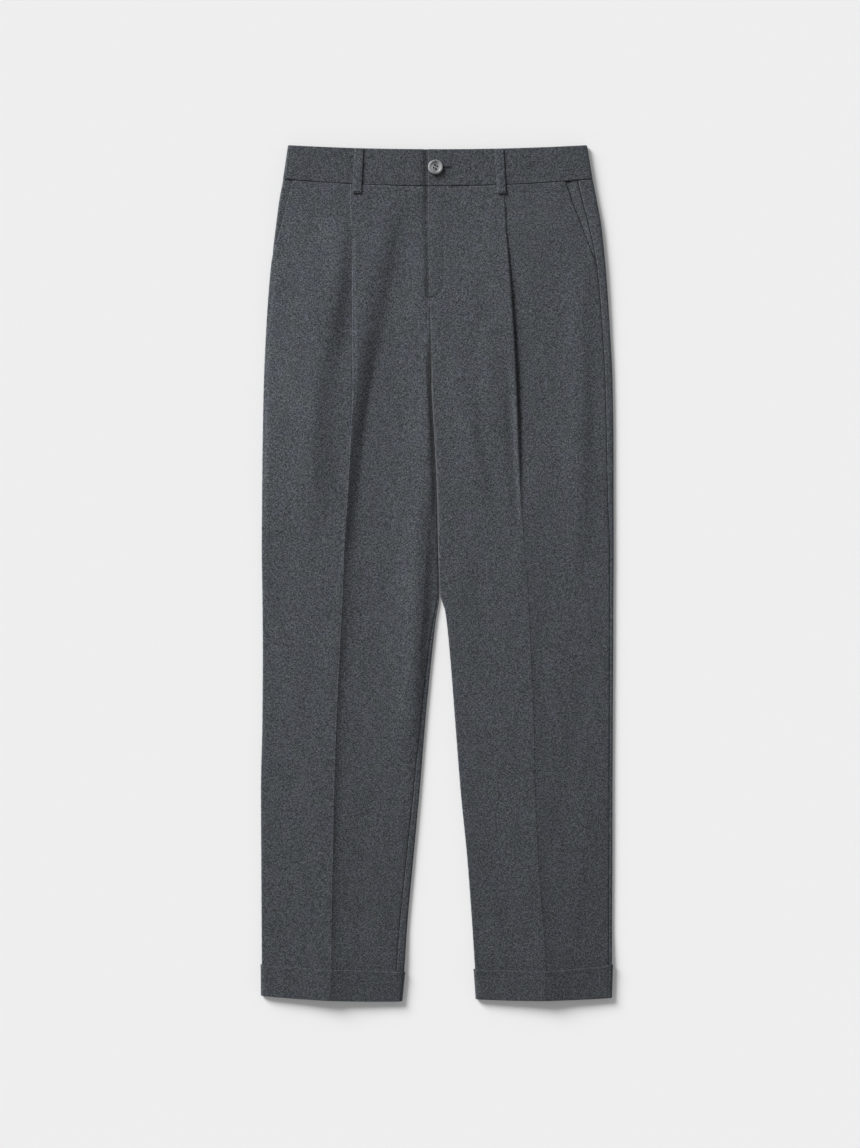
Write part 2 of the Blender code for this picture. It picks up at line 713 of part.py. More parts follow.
def keyhole_cutters(group):
    """The slit and the round eye of the buttonhole, as cutters that pass right through the wall."""
    depth = 4 * BAND_WALL
    bpy.ops.mesh.primitive_cylinder_add(vertices=12, radius=EYE_RADIUS, depth=depth)
    eye = as_cutter("buttonhole_eye", group, (BUTTON_X, button_y(), BAND_LEVEL))
    bpy.ops.mesh.primitive_cube_add(size=1)
    slit = as_cutter("buttonhole_slit", group, (BUTTON_X + SLIT_LENGTH / 2, button_y(), BAND_LEVEL))
    slit.data.transform(Matrix.Diagonal((SLIT_LENGTH, SLIT_WIDTH, depth, 1.0)))
    return slit, eye


def as_cutter(name, group, place):
    """Makes the primitive that was just added a cutter, which isn't rendered."""
    cutter = bpy.context.active_object
    cutter.name = name
    cutter.location = place
    for home in list(cutter.users_collection):
        home.objects.unlink(cutter)
    group.objects.link(cutter)
    cutter.hide_render = True
    cutter.display_type = "WIRE"
    return cutter


# Button

def button_y():
    return float(row_y("left", np.array([BUTTON_X]), BUTTON_DOWN)[0])


def add_button(group, cutters, finish):
    """A turned disc with a raised rim and a dished middle, on a thread shank."""
    seat = band_top("left", BUTTON_X) + SEAM_GAP
    under = BAND_LEVEL - BAND_DROP + BAND_WALL / 2 + SEAM_GAP
    top, rim = seat + BUTTON_HEIGHT, BUTTON_RADIUS
    dish = top - BUTTON_DISH
    profile = (
        (0.0, dish),
        (0.52 * rim, dish),
        (0.64 * rim, dish + 0.35 * BUTTON_DISH),
        (0.74 * rim, top - 0.1 * BUTTON_DISH),
        (0.84 * rim, top),
        (0.95 * rim, top - 0.25 * BUTTON_DISH),
        (rim, top - 0.4 * BUTTON_HEIGHT),
        (0.97 * rim, seat + 0.25 * BUTTON_HEIGHT),
        (0.80 * rim, seat),
        (SHANK_RADIUS, seat),
        (SHANK_RADIUS, under),
        (0.0, under),
    )
    mesh = bpy.data.meshes.new("waist_button")
    edges = [(i, i + 1) for i in range(len(profile) - 1)]
    mesh.from_pydata([(radius, 0.0, height) for radius, height in profile], edges, [])
    button = add_object("waist_button", mesh, finish, group)
    button.location = (BUTTON_X, button_y(), 0.0)
    turn = button.modifiers.new("turned", "SCREW")
    turn.steps = turn.render_steps = 24
    turn.use_merge_vertices = True
    turn.merge_threshold = 0.00001
    depth = 6 * BUTTON_HEIGHT
    for k in range(4):
        angle = math.radians(BUTTON_HOLE_ANGLE + 90 * k)
        x = BUTTON_X + BUTTON_HOLE_SPREAD * math.cos(angle)
        y = button_y() + BUTTON_HOLE_SPREAD * math.sin(angle)
        bpy.ops.mesh.primitive_cylinder_add(vertices=8, radius=BUTTON_HOLE_RADIUS, depth=depth)
        drill = as_cutter(f"button_hole_{k + 1}", cutters, (x, y, seat + BUTTON_HOLE_STOP + depth / 2))
        cut = button.modifiers.new(drill.name, "BOOLEAN")
        cut.operation = "DIFFERENCE"
        cut.object = drill


# Belt loops

def front_top(side, down):
    """The height of the front's upper face at the top fold of the pleat."""
    return leg_row(side, down)["crest"] + WALL / 2


def loop_section(loop, share):
    """The strip's section at a share of its length: it spans the waistband with a little slack."""
    side = loop["side"]
    down = LOOP_TOP + (LOOP_END - LOOP_TOP) * share
    out = loop["top_out"] + (loop["end_out"] - loop["top_out"]) * share
    over_band = band_top(side, out)
    over_front = front_top(side, max(down, BAND_DEPTH))
    landed = smooth((down - BAND_DEPTH - LOOP_LANDING) / LOOP_LANDING_RUN)
    slack = LOOP_SLACK * math.sin(math.pi * share) ** 0.5
    level = over_band + (over_front - over_band) * landed + SEAM_GAP + LOOP_WALL / 2 + slack
    outs = out + LOOP_WIDTH * np.linspace(-0.5, 0.5, 4)
    crown = LOOP_CROWN * np.array([0.0, 1.0, 1.0, 0.0])
    return placed(side, np.stack([outs, level + crown], axis=1), down)


def add_belt_loops(group, cloth):
    """A strip from the waistband's top edge to below its seam."""
    for row in LOOPS:
        loop = dict(zip(LOOP_COLUMNS, row))
        sections = [loop_section(loop, share) for share in np.linspace(0, 1, LOOP_STEPS + 1)]
        lofted("belt_loop_" + loop["side"], sections, cloth, group, LOOP_WALL)


def clear_scene():
    for thing in list(bpy.data.objects):
        bpy.data.objects.remove(thing)


def main():
    clear_scene()
    group = bpy.data.collections.new("pleated_trousers")
    cutters = bpy.data.collections.new("cutters")
    for collection in (group, cutters):
        bpy.context.scene.collection.children.link(collection)
    cloth = material("wool_flannel", CLOTH_COLOUR, 0.9)
    button = material("button", BUTTON_COLOUR, 0.35)
    add_panels(group, cloth)
    add_pocket_sides(group, cloth)
    add_turn_ups(group, cloth)
    add_waistband(group, cutters, cloth)
    add_belt_loops(group, cloth)
    add_button(group, cutters, button)


main()
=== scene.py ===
"""Looks of the pleated wool trousers, laid flat with the front up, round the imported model.

Lengths are in metres, but in millimetres in the tables. +X points to the right as one looks down on the
garment, +Y to the waist and +Z up from the surface that it lies on. "down" is a distance below the top of
the waistband, and "out" a distance from the line x = 0 towards a leg's own side. The wearer's left leg is
at +X. Heights in the tables are those of the middle of the cloth's wall. The construction's own sizes and
sections are repeated here on finer meshes. The folds, creases, hems, belt loops and button go a little
beyond them.
"""

import json
import math

import bmesh
import bpy
import numpy as np
from mathutils import Matrix, Vector
from mathutils.bvhtree import BVHTree

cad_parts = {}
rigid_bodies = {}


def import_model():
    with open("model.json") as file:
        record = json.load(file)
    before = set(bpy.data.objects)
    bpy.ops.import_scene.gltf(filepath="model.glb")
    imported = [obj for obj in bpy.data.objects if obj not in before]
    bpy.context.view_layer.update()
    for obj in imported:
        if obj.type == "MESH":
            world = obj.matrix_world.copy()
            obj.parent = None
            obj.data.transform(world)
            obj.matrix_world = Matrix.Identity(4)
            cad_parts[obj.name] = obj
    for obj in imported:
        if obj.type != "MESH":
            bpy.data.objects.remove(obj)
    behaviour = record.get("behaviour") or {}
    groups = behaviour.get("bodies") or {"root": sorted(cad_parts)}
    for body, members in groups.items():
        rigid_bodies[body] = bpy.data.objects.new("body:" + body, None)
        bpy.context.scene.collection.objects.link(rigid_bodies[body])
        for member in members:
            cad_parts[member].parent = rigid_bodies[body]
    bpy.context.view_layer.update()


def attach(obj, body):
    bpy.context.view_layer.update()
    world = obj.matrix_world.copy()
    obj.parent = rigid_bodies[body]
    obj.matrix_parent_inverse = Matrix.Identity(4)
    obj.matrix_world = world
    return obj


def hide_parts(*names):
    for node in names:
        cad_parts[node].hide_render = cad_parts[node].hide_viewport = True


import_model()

# The photograph: its size, the real size of a pixel, and the pixels of the waist's top and of x = 0
PHOTO_WIDTH = 860
PHOTO_HEIGHT = 1148
PIXEL = 0.0012427
TOP_PIXEL = 145.0
MIDDLE_PIXEL = 437.1
CAMERA_HEIGHT = 4.0
SENSOR = 36.0

# Whole garment
MM = 0.001
LENGTH = 1.064
TOP_Y = LENGTH / 2
SIDES = {"left": 1, "right": -1}

# Cloth: its wall, the gap at a seam, and the level of its middle where it lies on the floor
WALL = 0.0012
SEAM_GAP = 0.0003
LAP_DROP = WALL + SEAM_GAP
FLOOR_LEVEL = WALL / 2

# Waistband, and how its rows dip at the middle
BAND_DEPTH = 0.0425
BAND_WALL = 0.0020
BAND_LEVEL = 0.0060
BAND_LAP = 0.0300
BAND_DROP = BAND_WALL + SEAM_GAP
BAND_RAMP = 0.0080
BAND_SAG = 0.0006
WAIST_DIP = 0.0050
SEAM_DIP = 0.0083
DIP_FADE = 0.0700

# Fly: the right front runs under the left one, and drops to pass under it
FLY_LAP = 0.0120
FLY_END = 0.1860
FLY_TAPER = 0.0060
FLY_SETTLED = 0.2020
FLY_RAMP = 0.0060
FLY_DROP = LAP_DROP + 0.0002
FLY_GAP = 0.0008
FLY_GAP_OUT = 0.0008
FLY_GAP_WIDTH = 0.0020

# Pocket: its side piece runs a little way under the front
POCKET_END = 0.1460
POCKET_TIP = 0.0050
POCKET_LEAST = 0.0016
POCKET_LAP = 0.070
POCKET_DROP = LAP_DROP + 0.0004
POCKET_EDGE_DROP = {"left": 0.0017, "right": 0.0010}

# Crotch, and the level where the front's centre seam starts to dip to it
CROTCH = 0.2980
CENTRE_DIP = 0.2300

# Crease and pleat
TENT_POWER = 1.3
PLEAT_REACH = 0.0120
SAG = 0.0003
FOLD_FADE = 0.0050
FOLD_POWER = 0.7
TURN_HALVINGS = 50
LEAST_PLEAT_TURN = math.radians(2)
MOST_PLEAT_TURN = math.radians(179.8)
LEAST_RUN = 1e-5
LEAST_TURN = 1e-3

# Where the front comes to rest on the back, and how softly
FRONT_FLOOR = 0.0021
FRONT_SETTLE = 0.0008

# Seams: how deep and how far the cloth turns in at them, and the puckers beside those sewn along the leg
SEAM_ROLL = 0.0006
SEAM_REACH = 0.0028
EDGE_ROLL = 0.0002
BAND_SEAM_DIP = 0.0004
BAND_SEAM_REACH = 0.0020
PUCKER = 0.00010
PUCKER_LENGTH = 0.0130
PUCKER_DRIFT = 0.043
PUCKER_REACH = 0.0050
CORNER_LEAST = 1.0
EDGE_LEAST = 0.30

# The level where the backs' and the waistband's relief starts, and the height over which it grows
BACK_RELIEF_START = 0.0010
BAND_RELIEF_START = 0.0020
RELIEF_GROWTH = 0.0020
BAND_DIP_SHARE = 0.5

# Turn-ups: the hem is tilted and bowed, and the top edge lies a little askew, gapes and has a bead
TURN_UP_TOP = 1.0210
TURN_UP_DEPTH = 0.0400
HEM = TURN_UP_TOP + TURN_UP_DEPTH
TURN_UP_OFFSET = WALL + SEAM_GAP
LIFT_START = 0.9700
HEM_FADE = 0.0900
HEM_BOW = 0.0024
HEM_TILT = {"left": 0.0017, "right": 0.0070}
HEM_ROUND = 0.0005
HEM_SEAM = 0.00036
HEM_SEAM_WIDTH = 0.0009
TOP_ROUND = 0.0018
TOP_BEAD = 0.0003
TOP_START = {"left": -0.0018, "right": 0.0}
TOP_TILT = 0.0045
TOP_BOW = {"left": 0.0034, "right": 0.0}
BRIDGE_ROUNDS = 6
FRONT_LEAST = 0.0045
GAPE_DEPTH = 0.0120
EDGE_WOBBLE = 0.0004
WOBBLE_LENGTH = 0.0117
WOBBLE_DRIFT = 0.031
WOBBLE_BEND = 1.7

# A crescent crease on the right turn-up
CRESCENT_OUT = 0.1700
CRESCENT_DOWN = 1.0485
CRESCENT_BEND = 0.0062
CRESCENT_HALF = 0.0110
CRESCENT_WIDTH = 0.0011
CRESCENT_DEPTH = 0.0006

# Belt loops, and where the middle of each lies at its top and at its end
LOOP_WALL = 0.0012
LOOP_WIDTH = 0.0112
LOOP_TOP = 0.0006
LOOP_END = 0.0540
LOOP_TOP_OUT = {"left": 0.0769, "right": 0.0971}
LOOP_END_OUT = {"left": 0.0803, "right": 0.0998}
LOOP_SLACK = 0.0002
LOOP_CROWN = 0.0002
LOOP_LANDING = 0.0010
LOOP_LANDING_RUN = 0.0090
LOOP_CHANNEL = 0.00010
LOOP_CHANNEL_IN = 0.0015
LOOP_CHANNEL_WIDTH = 0.0006

# Button, and the keyhole that its shank stands in
BUTTON_X = -0.0020
BUTTON_DOWN = 0.0210
BUTTON_RADIUS = 0.0092
BUTTON_HEIGHT = 0.0030
BUTTON_DISH = 0.0009
BUTTON_HOLES = 4
BUTTON_HOLE_RADIUS = 0.0011
BUTTON_HOLE_SPREAD = 0.0025
BUTTON_HOLE_ANGLE = 17
BUTTON_HOLE_STOP = 0.0006
BUTTON_RING = 0.0011
BUTTON_HOLE_SIDES = 20
BUTTON_TURN_STEPS = 96
BUTTON_MERGE = 0.00001
BUTTON_SHARP = math.radians(38)
SHANK_RADIUS = 0.0011
SHANK_THREAD = (1.9 * BUTTON_HOLE_RADIUS, 1.8 * BUTTON_HOLE_RADIUS, 0.0014)
EYE_RADIUS = 0.0016
EYE_SIDES = 24
SLIT_LENGTH = 0.0200
SLIT_WIDTH = 0.0008
CUT_DEPTH = 4 * BAND_WALL

# The button's turned section: shares of its radius, each with a height. The face's heights are shares of
# the dish above its bottom, and the side's are shares of the button's height above its seat.
BUTTON_FACE = (
    (0.0, 0.04), (0.30, 0.0), (0.50, 0.02), (0.60, 0.18), (0.66, 0.45),
    (0.72, 0.84), (0.78, 0.97), (0.84, 1.0), (0.90, 0.94), (0.95, 0.75),
)
BUTTON_SIDE = ((0.985, 0.76), (1.0, 0.58), (0.992, 0.40), (0.955, 0.20), (0.88, 0.05), (0.80, 0.0))

# The fly's stitch line, and how deep its stitches draw the cloth in: most in its lower part
FLY_STITCH_X = 0.0072
FLY_STITCH_START = BAND_DEPTH + 0.002
FLY_STITCH_END_X = -0.0088
FLY_CURVE_START = 0.1720
FLY_STITCH_END = 0.1889
FLY_GROOVE = 0.00080
FLY_GROOVE_REACH = 0.0016
FLY_GROOVE_LEAST = 0.35
FLY_GROOVE_GROWS = 0.11
FLY_GROOVE_GROWTH = 0.03
FLY_GROOVE_BESIDE = 0.03
FLY_GROOVE_BELOW = 0.01

# Stitches: lengths, widths and heights, and the distances between them
STITCH_PITCH = 0.0029
STITCH = (0.0021, 0.00045, 0.00030)
STITCH_AHEAD = 0.1 * STITCH_PITCH
STITCH_SUNK = 0.00002
RAY_START = 0.1
STITCH_SIDES = 6
STITCH_RINGS = ((-0.5, 0.35), (-0.36, 0.85), (0.0, 1.0), (0.36, 0.85), (0.5, 0.35))
TACK_PITCH = 0.00045
TACK_THREAD = (TACK_PITCH * 1.1, 0.00042)
PURL_PITCH = 0.00050
PURL = (0.0012, PURL_PITCH * 1.05, 0.00045)
PURLS_AT_END = 7

# Tacks: length and width, and how far each lies from the end that it holds
FLY_TACK = (0.0050, 0.0016)
FLY_TACK_IN = 0.0015
FLY_TACK_UP = 0.0010
POCKET_TACK = (0.0042, 0.0013)
POCKET_TACK_IN = 0.0022
POCKET_TACK_BELOW = 0.0005
LOOP_TACK = (LOOP_WIDTH - 0.0030, 0.0010)
LOOP_TACK_UP = 0.0022

# The cloth's colours, from dark fibres to light ones; a painted light falloff that makes the cloth darker
# towards the hems and towards +X; and the painted shade that darkens the waistband's copy of the cloth
GRAIN_CONTRAST = 1.75
MOTTLE = 0.42
PAINTED_FALLOFF_DOWN = 0.12
PAINTED_FALLOFF_DOWN_SQUARED = 0.24
PAINTED_FALLOFF_ACROSS = 0.25
PAINTED_FALLOFF_TOP = 0.805
# Painted shade: the waistband's copy of the cloth is this share as dark
BAND_PAINTED_SHADE = 0.86
CLOTH_STOPS = (
    (0.10, (0.020, 0.0225, 0.0260)),
    (0.50, (0.061, 0.068, 0.077)),
    (0.90, (0.150, 0.165, 0.184)),
)
CLOUD_COLOUR = (0.88, 0.88, 0.88, 1.0)
CLOUD_RANGE = (-0.7, 1.3)
TINT_STOPS = ((0.42, (1.00, 1.01, 0.985)), (0.58, (1.00, 0.99, 1.04)))
TWILL_LINES = 9000.0
CLOTH_ROUGHNESS = (0.84, 1.0)

# Noises of the materials: grains to the metre along each axis, detail, roughness, and a shift
NOISES = {
    "warp": ((1050.0, 420.0, 1.0), 1.0, 0.5),
    "weft": ((420.0, 1050.0, 1.0), 1.0, 0.5, (5.3, 2.7, 0.0)),
    "fibre": ((2300.0, 2300.0, 2300.0), 2.0, 0.6),
    "speck": ((620.0, 620.0, 620.0), 2.0, 0.6, (3.1, 8.2, 4.4)),
    "mottle": ((250.0, 200.0, 250.0), 2.0, 0.6, (9.1, 4.3, 6.6)),
    "cloud": ((34.0, 26.0, 34.0), 3.0, 0.55),
    "tint": ((52.0, 44.0, 52.0), 2.0, 0.5, (7.7, 1.9, 3.3)),
    "sewing": ((1800.0, 5200.0, 1800.0), 2.0, 0.6),
    "shank": ((4200.0, 1800.0, 4200.0), 2.0, 0.6),
    "pearl": ((170.0, 260.0, 170.0), 3.0, 0.6),
}
# The sewing thread's colours: partly its own dark grey, partly painted shade for the shadows along stitched
# lines
SEWING_STOPS_AND_STITCH_SHADE = ((0.35, (0.014, 0.016, 0.018)), (0.65, (0.040, 0.044, 0.049)))
# The shank thread's nearly black colours are partly painted shade for the button's holes
SHANK_STOPS_AND_HOLE_SHADE = ((0.35, (0.006, 0.007, 0.008)), (0.65, (0.022, 0.024, 0.027)))
PEARL_STOPS = (
    (0.15, (0.110, 0.114, 0.118)),
    (0.45, (0.190, 0.194, 0.200)),
    (0.80, (0.390, 0.394, 0.402)),
)
PEARL_CENTRE = 0.0002
# Painted highlight: how much lighter the button's colour is towards its left and right sides
PEARL_PAINTED_HIGHLIGHT = 0.55
PEARL_RINGS = 0.035
PEARL_CLOUD = (-0.20, 0.46)
PEARL_ROUGHNESS = (0.38, 0.56)

# Floor and light
FLOOR_SIZE = 14.0
FLOOR_DROP = 0.0002
FLOOR_COLOUR = (0.774, 0.774, 0.774, 1.0)
FLOOR_GLOW = 0.0855
CLOTH_LEVEL = 0.0070
FILL_STRENGTH = 0.245
WALLS_STRENGTH = 0.855
WALLS_FULL = 0.21
WALLS_END = 0.37
KEY_STRENGTH = 5.2
KEY_ANGLE = math.radians(26)
KEY_RISE = math.radians(25)
KEY_FROM = (-0.69, 0.72)
WHITE = (1.0, 1.0, 1.0, 1.0)

# Rows of the meshes down the garment: where each run of them ends, and its number of steps
PANEL_RUNS = (
    (BAND_DEPTH + 0.0033, 6),
    (FLY_END - FLY_TAPER, 42),
    (FLY_END, 6),
    (FLY_SETTLED, 6),
    (CROTCH, 30),
    (0.3360, 12),
    (0.5600, 62),
    (TURN_UP_TOP - 0.0040, 126),
    (HEM - WALL - SEAM_GAP, 12),
)
POCKET_RUNS = ((BAND_DEPTH + 0.0033, 6), (POCKET_END, 40))

# Steps of the meshes across it, and of the lines that the sections are picked from
INNER_STEPS = 62
OUTER_STEPS = 52
RING_INNER_STEPS = 50
RING_OUTER_STEPS = 46
WRAP_STEPS = 12
FLOOR_STEPS = 22
FOLD_STEPS = 7
HIDDEN_STEPS = 6
OPENING_STEPS = 12
BEND_STEPS = 14
BAND_STEPS = 64
RAMP_STEPS = 12
BAND_EDGE_STEPS = 4
BAND_ROWS = 30
TURN_UP_ROWS = 20
TOP_ROUND_POINTS = 9
HEM_ROUND_POINTS = 6
LOOP_STEPS = 48
LOOP_ACROSS = 14
ARC_STEPS = 24
FLY_STEPS = (40, 24)
DENSE = 400

GARMENT = bpy.data.collections.new("pleated_trousers")


# Tables, in millimetres apart from the columns that are plain numbers

PLAIN_COLUMNS = ("press", "phase", "slope")


def table(columns, rows):
    """A table's columns as arrays in metres, by name."""
    made = {}
    for name, values in zip(columns.split(), zip(*rows)):
        made[name] = np.array(values, float) * (1.0 if name in PLAIN_COLUMNS else MM)
    return made


def records(columns, rows):
    """A table's rows as dictionaries in metres."""
    made = table(columns, rows)
    return [dict(zip(made, row)) for row in zip(*made.values())]


PLAN_COLUMNS = "down outer crease inner"
LEFT_PLAN = (
    (0, 186.5, 83.1, -11.3),
    (42.5, 193.7, 83.1, -11.3),
    (68, 198.7, 84.3, -10.9),
    (99, 204.2, 85.6, -10.7),
    (137, 208.5, 88.5, -10.3),
    (180, 212.1, 91.8, -9.7),
    (230, 215.2, 94.9, -8.2),
    (298, 218.5, 98.3, -6.7),
    (379, 219.6, 101.4, -2.1),
    (441, 219.7, 104.4, 0.6),
    (503, 219.8, 109.0, 1.5),
    (558, 219.5, 113.6, 3.4),
    (580, 219.4, 115.0, 9.7),
    (628, 219.2, 116.6, 15.0),
    (715, 218.7, 120.4, 21.9),
    (802, 218.3, 122.2, 28.7),
    (889, 218.1, 126.0, 37.2),
    (963, 217.7, 131.6, 42.7),
    (1023, 217.5, 135.7, 46.6),
    (1061, 216.3, 136.6, 49.0),
)
RIGHT_PLAN = (
    (0, 185.5, 107.5, 11.3),
    (42.5, 191.9, 107.5, 11.3),
    (68, 196.5, 107.4, 10.9),
    (99, 200.7, 106.5, 10.7),
    (137, 205.4, 105.5, 10.3),
    (180, 209.6, 105.1, 9.7),
    (230, 212.9, 104.8, 8.2),
    (298, 215.9, 104.4, 6.7),
    (379, 217.5, 108.9, 2.1),
    (441, 218.1, 112.0, -0.6),
    (503, 218.5, 116.2, -1.5),
    (558, 217.7, 118.2, -3.0),
    (590, 217.4, 119.8, 1.4),
    (628, 217.2, 121.7, 5.8),
    (715, 217.7, 125.9, 14.3),
    (802, 219.5, 128.9, 21.5),
    (889, 219.1, 130.5, 29.6),
    (963, 218.7, 131.9, 36.4),
    (1023, 218.3, 132.7, 40.6),
    (1061, 218.0, 135.0, 44.0),
)

# Levels of the front's wall at the inner edge, on the crease, beside it on the outer side, and at the
# outer edge; how far the pleat's layers lap, and how round its folds are
LEVEL_COLUMNS = "down inner_level crest low outer_level lap round"
LEFT_LEVELS = (
    (42.5, 6.0, 6.1, 2.3, 6.0, 24.0, 0.80),
    (68, 5.6, 6.0, 2.3, 5.6, 24.0, 0.90),
    (99, 5.2, 6.6, 2.3, 5.5, 22.0, 1.05),
    (137, 5.0, 7.5, 2.3, 5.3, 19.0, 1.25),
    (180, 4.9, 8.5, 2.3, 4.8, 15.0, 1.50),
    (230, 4.2, 9.0, 2.3, 4.2, 10.0, 1.60),
    (267, 3.6, 8.7, 2.4, 3.8, 7.0, 1.50),
    (298, 3.2, 8.3, 2.6, 3.6, 4.5, 1.30),
    (336, 3.1, 7.8, 3.4, 3.5, 2.0, 1.05),
    (379, 3.0, 7.3, 4.8, 3.4, -0.5, 1.00),
    (441, 3.0, 6.8, 6.5, 3.4, -1.2, 0.60),
    (503, 3.0, 6.5, 6.2, 3.4, -1.2, 0.60),
    (628, 3.1, 6.3, 6.0, 3.4, -1.2, 0.60),
    (802, 3.2, 6.2, 5.9, 3.4, -1.2, 0.60),
    (889, 3.4, 6.7, 6.4, 3.4, -1.2, 0.60),
    (963, 3.4, 7.5, 7.2, 3.4, -1.2, 0.60),
    (1061, 3.4, 8.6, 8.3, 3.4, -1.2, 0.60),
)
RIGHT_LEVELS = (
    (42.5, 6.0, 6.1, 2.3, 6.0, 24.0, 0.45),
    (68, 5.6, 6.0, 2.3, 5.6, 24.0, 0.45),
    (99, 5.2, 6.2, 2.3, 5.5, 22.0, 0.50),
    (137, 5.0, 6.8, 2.3, 5.3, 18.0, 0.60),
    (180, 4.9, 7.8, 2.5, 4.8, 13.0, 0.80),
    (230, 4.2, 9.0, 3.4, 4.2, 7.0, 0.95),
    (267, 3.4, 9.7, 5.2, 3.8, 3.0, 0.95),
    (298, 3.0, 9.9, 7.8, 3.6, 0.5, 0.95),
    (336, 2.8, 9.8, 9.0, 3.5, -1.0, 1.00),
    (379, 2.7, 9.4, 9.0, 3.4, -1.8, 1.00),
    (441, 2.6, 8.7, 8.4, 3.4, -1.2, 0.60),
    (503, 2.6, 8.0, 7.7, 3.4, -1.2, 0.60),
    (628, 2.8, 7.3, 7.0, 3.4, -1.2, 0.60),
    (802, 3.2, 6.9, 6.6, 3.4, -1.2, 0.60),
    (889, 3.4, 7.2, 6.9, 3.4, -1.2, 0.60),
    (963, 3.4, 7.7, 7.4, 3.4, -1.2, 0.60),
    (1061, 3.4, 8.8, 8.5, 3.4, -1.2, 0.60),
)

# How far each seam lies round its edge from where the top turns down, less than zero when it shows on
# top, and the width of the side piece between the side seam and the pocket opening
SEAM_COLUMNS = "down inseam outseam pocket"
LEFT_SEAMS = (
    (42.5, 0, -15.5, 15.3),
    (68, 0, -14.8, 13.3),
    (99, 0, -12.3, 9.8),
    (137, 0, -8.8, 3.0),
    (150, 0, -8.0, 0),
    (230, 0, -7.0, 0),
    (267, 1.4, -7.0, 0),
    (298, 2.7, -7.0, 0),
    (379, 3.0, -6.4, 0),
    (441, 3.0, -5.1, 0),
    (503, 3.0, -2.8, 0),
    (715, 3.0, -2.0, 0),
    (1061, 2.8, -1.8, 0),
)
RIGHT_SEAMS = (
    (42.5, 0, 6.0, 15.3),
    (68, 0, 6.0, 13.3),
    (99, 0, 6.0, 9.8),
    (137, 0, 5.8, 3.0),
    (150, 0, 5.6, 0),
    (180, 0, 5.0, 0),
    (230, 0, 4.2, 0),
    (267, 1.4, 3.8, 0),
    (298, 2.7, 3.5, 0),
    (379, 2.2, 3.2, 0),
    (441, 1.4, 3.2, 0),
    (558, 0, 3.2, 0),
    (628, -2.5, 3.2, 0),
    (715, -4.2, 3.2, 0),
    (889, -6.6, 3.2, 0),
    (1061, -8.3, 3.0, 0),
)

# The side of each pressed crease that faces the picture's right falls steeply: by what share of the
# crease's height, and how soon
PRESS_COLUMNS = "down press reach"
LEFT_PRESS = (
    (42.5, 0.10, 6.0),
    (210, 0.10, 8.0),
    (270, 0.45, 15.0),
    (336, 0.55, 17.0),
    (365, 0.45, 14.0),
    (400, 0.20, 8.0),
    (450, 0.20, 6.5),
    (600, 0.30, 6.5),
    (940, 0.34, 6.5),
    (1020, 0.15, 6.5),
    (1061, 0.12, 6.5),
)
RIGHT_PRESS = (
    (42.5, 0.12, 6.0),
    (200, 0.12, 6.0),
    (260, 0.40, 18.0),
    (320, 0.72, 19.0),
    (380, 0.85, 19.0),
    (420, 0.88, 16.0),
    (500, 0.94, 10.0),
    (620, 0.94, 6.4),
    (940, 0.88, 6.0),
    (1020, 0.45, 8.0),
    (1061, 0.35, 8.0),
)

# Soft folds of the fronts: where each starts and ends, how far its line bows outwards between them, its
# half widths on the inner and the outer side, and its height, below zero for a trough
FOLD_COLUMNS = "start_out start_down end_out end_down bow width_in width_out height"
RIGHT_BROAD_FOLDS = (
    (148, 150, 158, 430, 0, 11, 11, 1.2),
    (70, 130, 90, 360, 0, 11, 11, -1.2),
    (85, 300, 106, 500, 0, 8, 8, -1.2),
    (170, 560, 180, 780, 0, 16, 16, 0.7),
)
LEFT_BROAD_FOLDS = (
    (60, 250, 68, 400, 0, 9, 9, 1.0),
    (86, 240, 94, 470, 0, 7, 7, -1.2),
    (186, 230, 187, 460, 0, 8, 8, 0.8),
    (133, 580, 134, 760, 0, 9, 9, -0.7),
    (70, 930, 72, 1015, 0, 8, 8, 0.7),
)
RIGHT_FINE_FOLDS = (
    (32, 55, 79, 370, 6, 30, 15, -4.0),
    (49, 55, 96, 370, 6, 15, 20, 2.4),
    (68, 240, 98, 530, 2, 28, 15, -4.4),
    (120, 90, 164, 490, 6, 22, 55, 6.8),
    (116, 70, 130, 270, 0, 9, 15, 1.8),
    (10.5, 235, 10, 460, 0, 5.2, 15, 3.4),
    (22, 330, 44, 860, -3, 11, 30, 2.8),
    (9.5, 400, 30, 760, 0, 8, 20, 4.4),
    (16, 60, 15, 170, 0, 5, 6, -0.5),
    (66, 840, 78, 1000, 0, 10, 16, 0.6),
    (160, 90, 175, 340, 3, 14, 12, 0.4),
    (185, 320, 180, 620, 4, 10, 13, -0.4),
    (140, 640, 150, 860, -3, 12, 15, 0.3),
    (85, 820, 90, 1000, 2, 8, 11, -0.4),
    (175, 850, 168, 1015, 0, 12, 9, 0.3),
)
LEFT_FINE_FOLDS = (
    (88, 265, 101, 490, 0, 6, 12, -1.8),
    (30, 270, 60, 450, 0, 20, 10, 3.4),
    (177, 150, 175, 530, 2, 20, 11, 3.2),
    (186, 790, 170, 980, 0, 12, 9, 0.6),
    (20, 190, 25, 330, 3, 9, 9, 0.4),
    (55, 130, 50, 300, 3, 10, 11, -0.4),
    (150, 110, 162, 330, 3, 12, 14, -0.5),
    (170, 420, 165, 670, 4, 12, 15, 0.3),
    (50, 420, 60, 630, -3, 12, 12, -0.4),
    (80, 650, 85, 880, 3, 11, 12, 0.3),
)

# Slow unevenness of the cloth: height, wavelengths across and down, and phase
WAVES = records("height across down phase", (
    (0.13, 71, 330, 0.4),
    (0.11, 47, -210, 2.1),
    (0.09, 34, 145, 4.0),
    (0.06, 23, -95, 1.3),
    (0.04, 16, 62, 5.2),
))

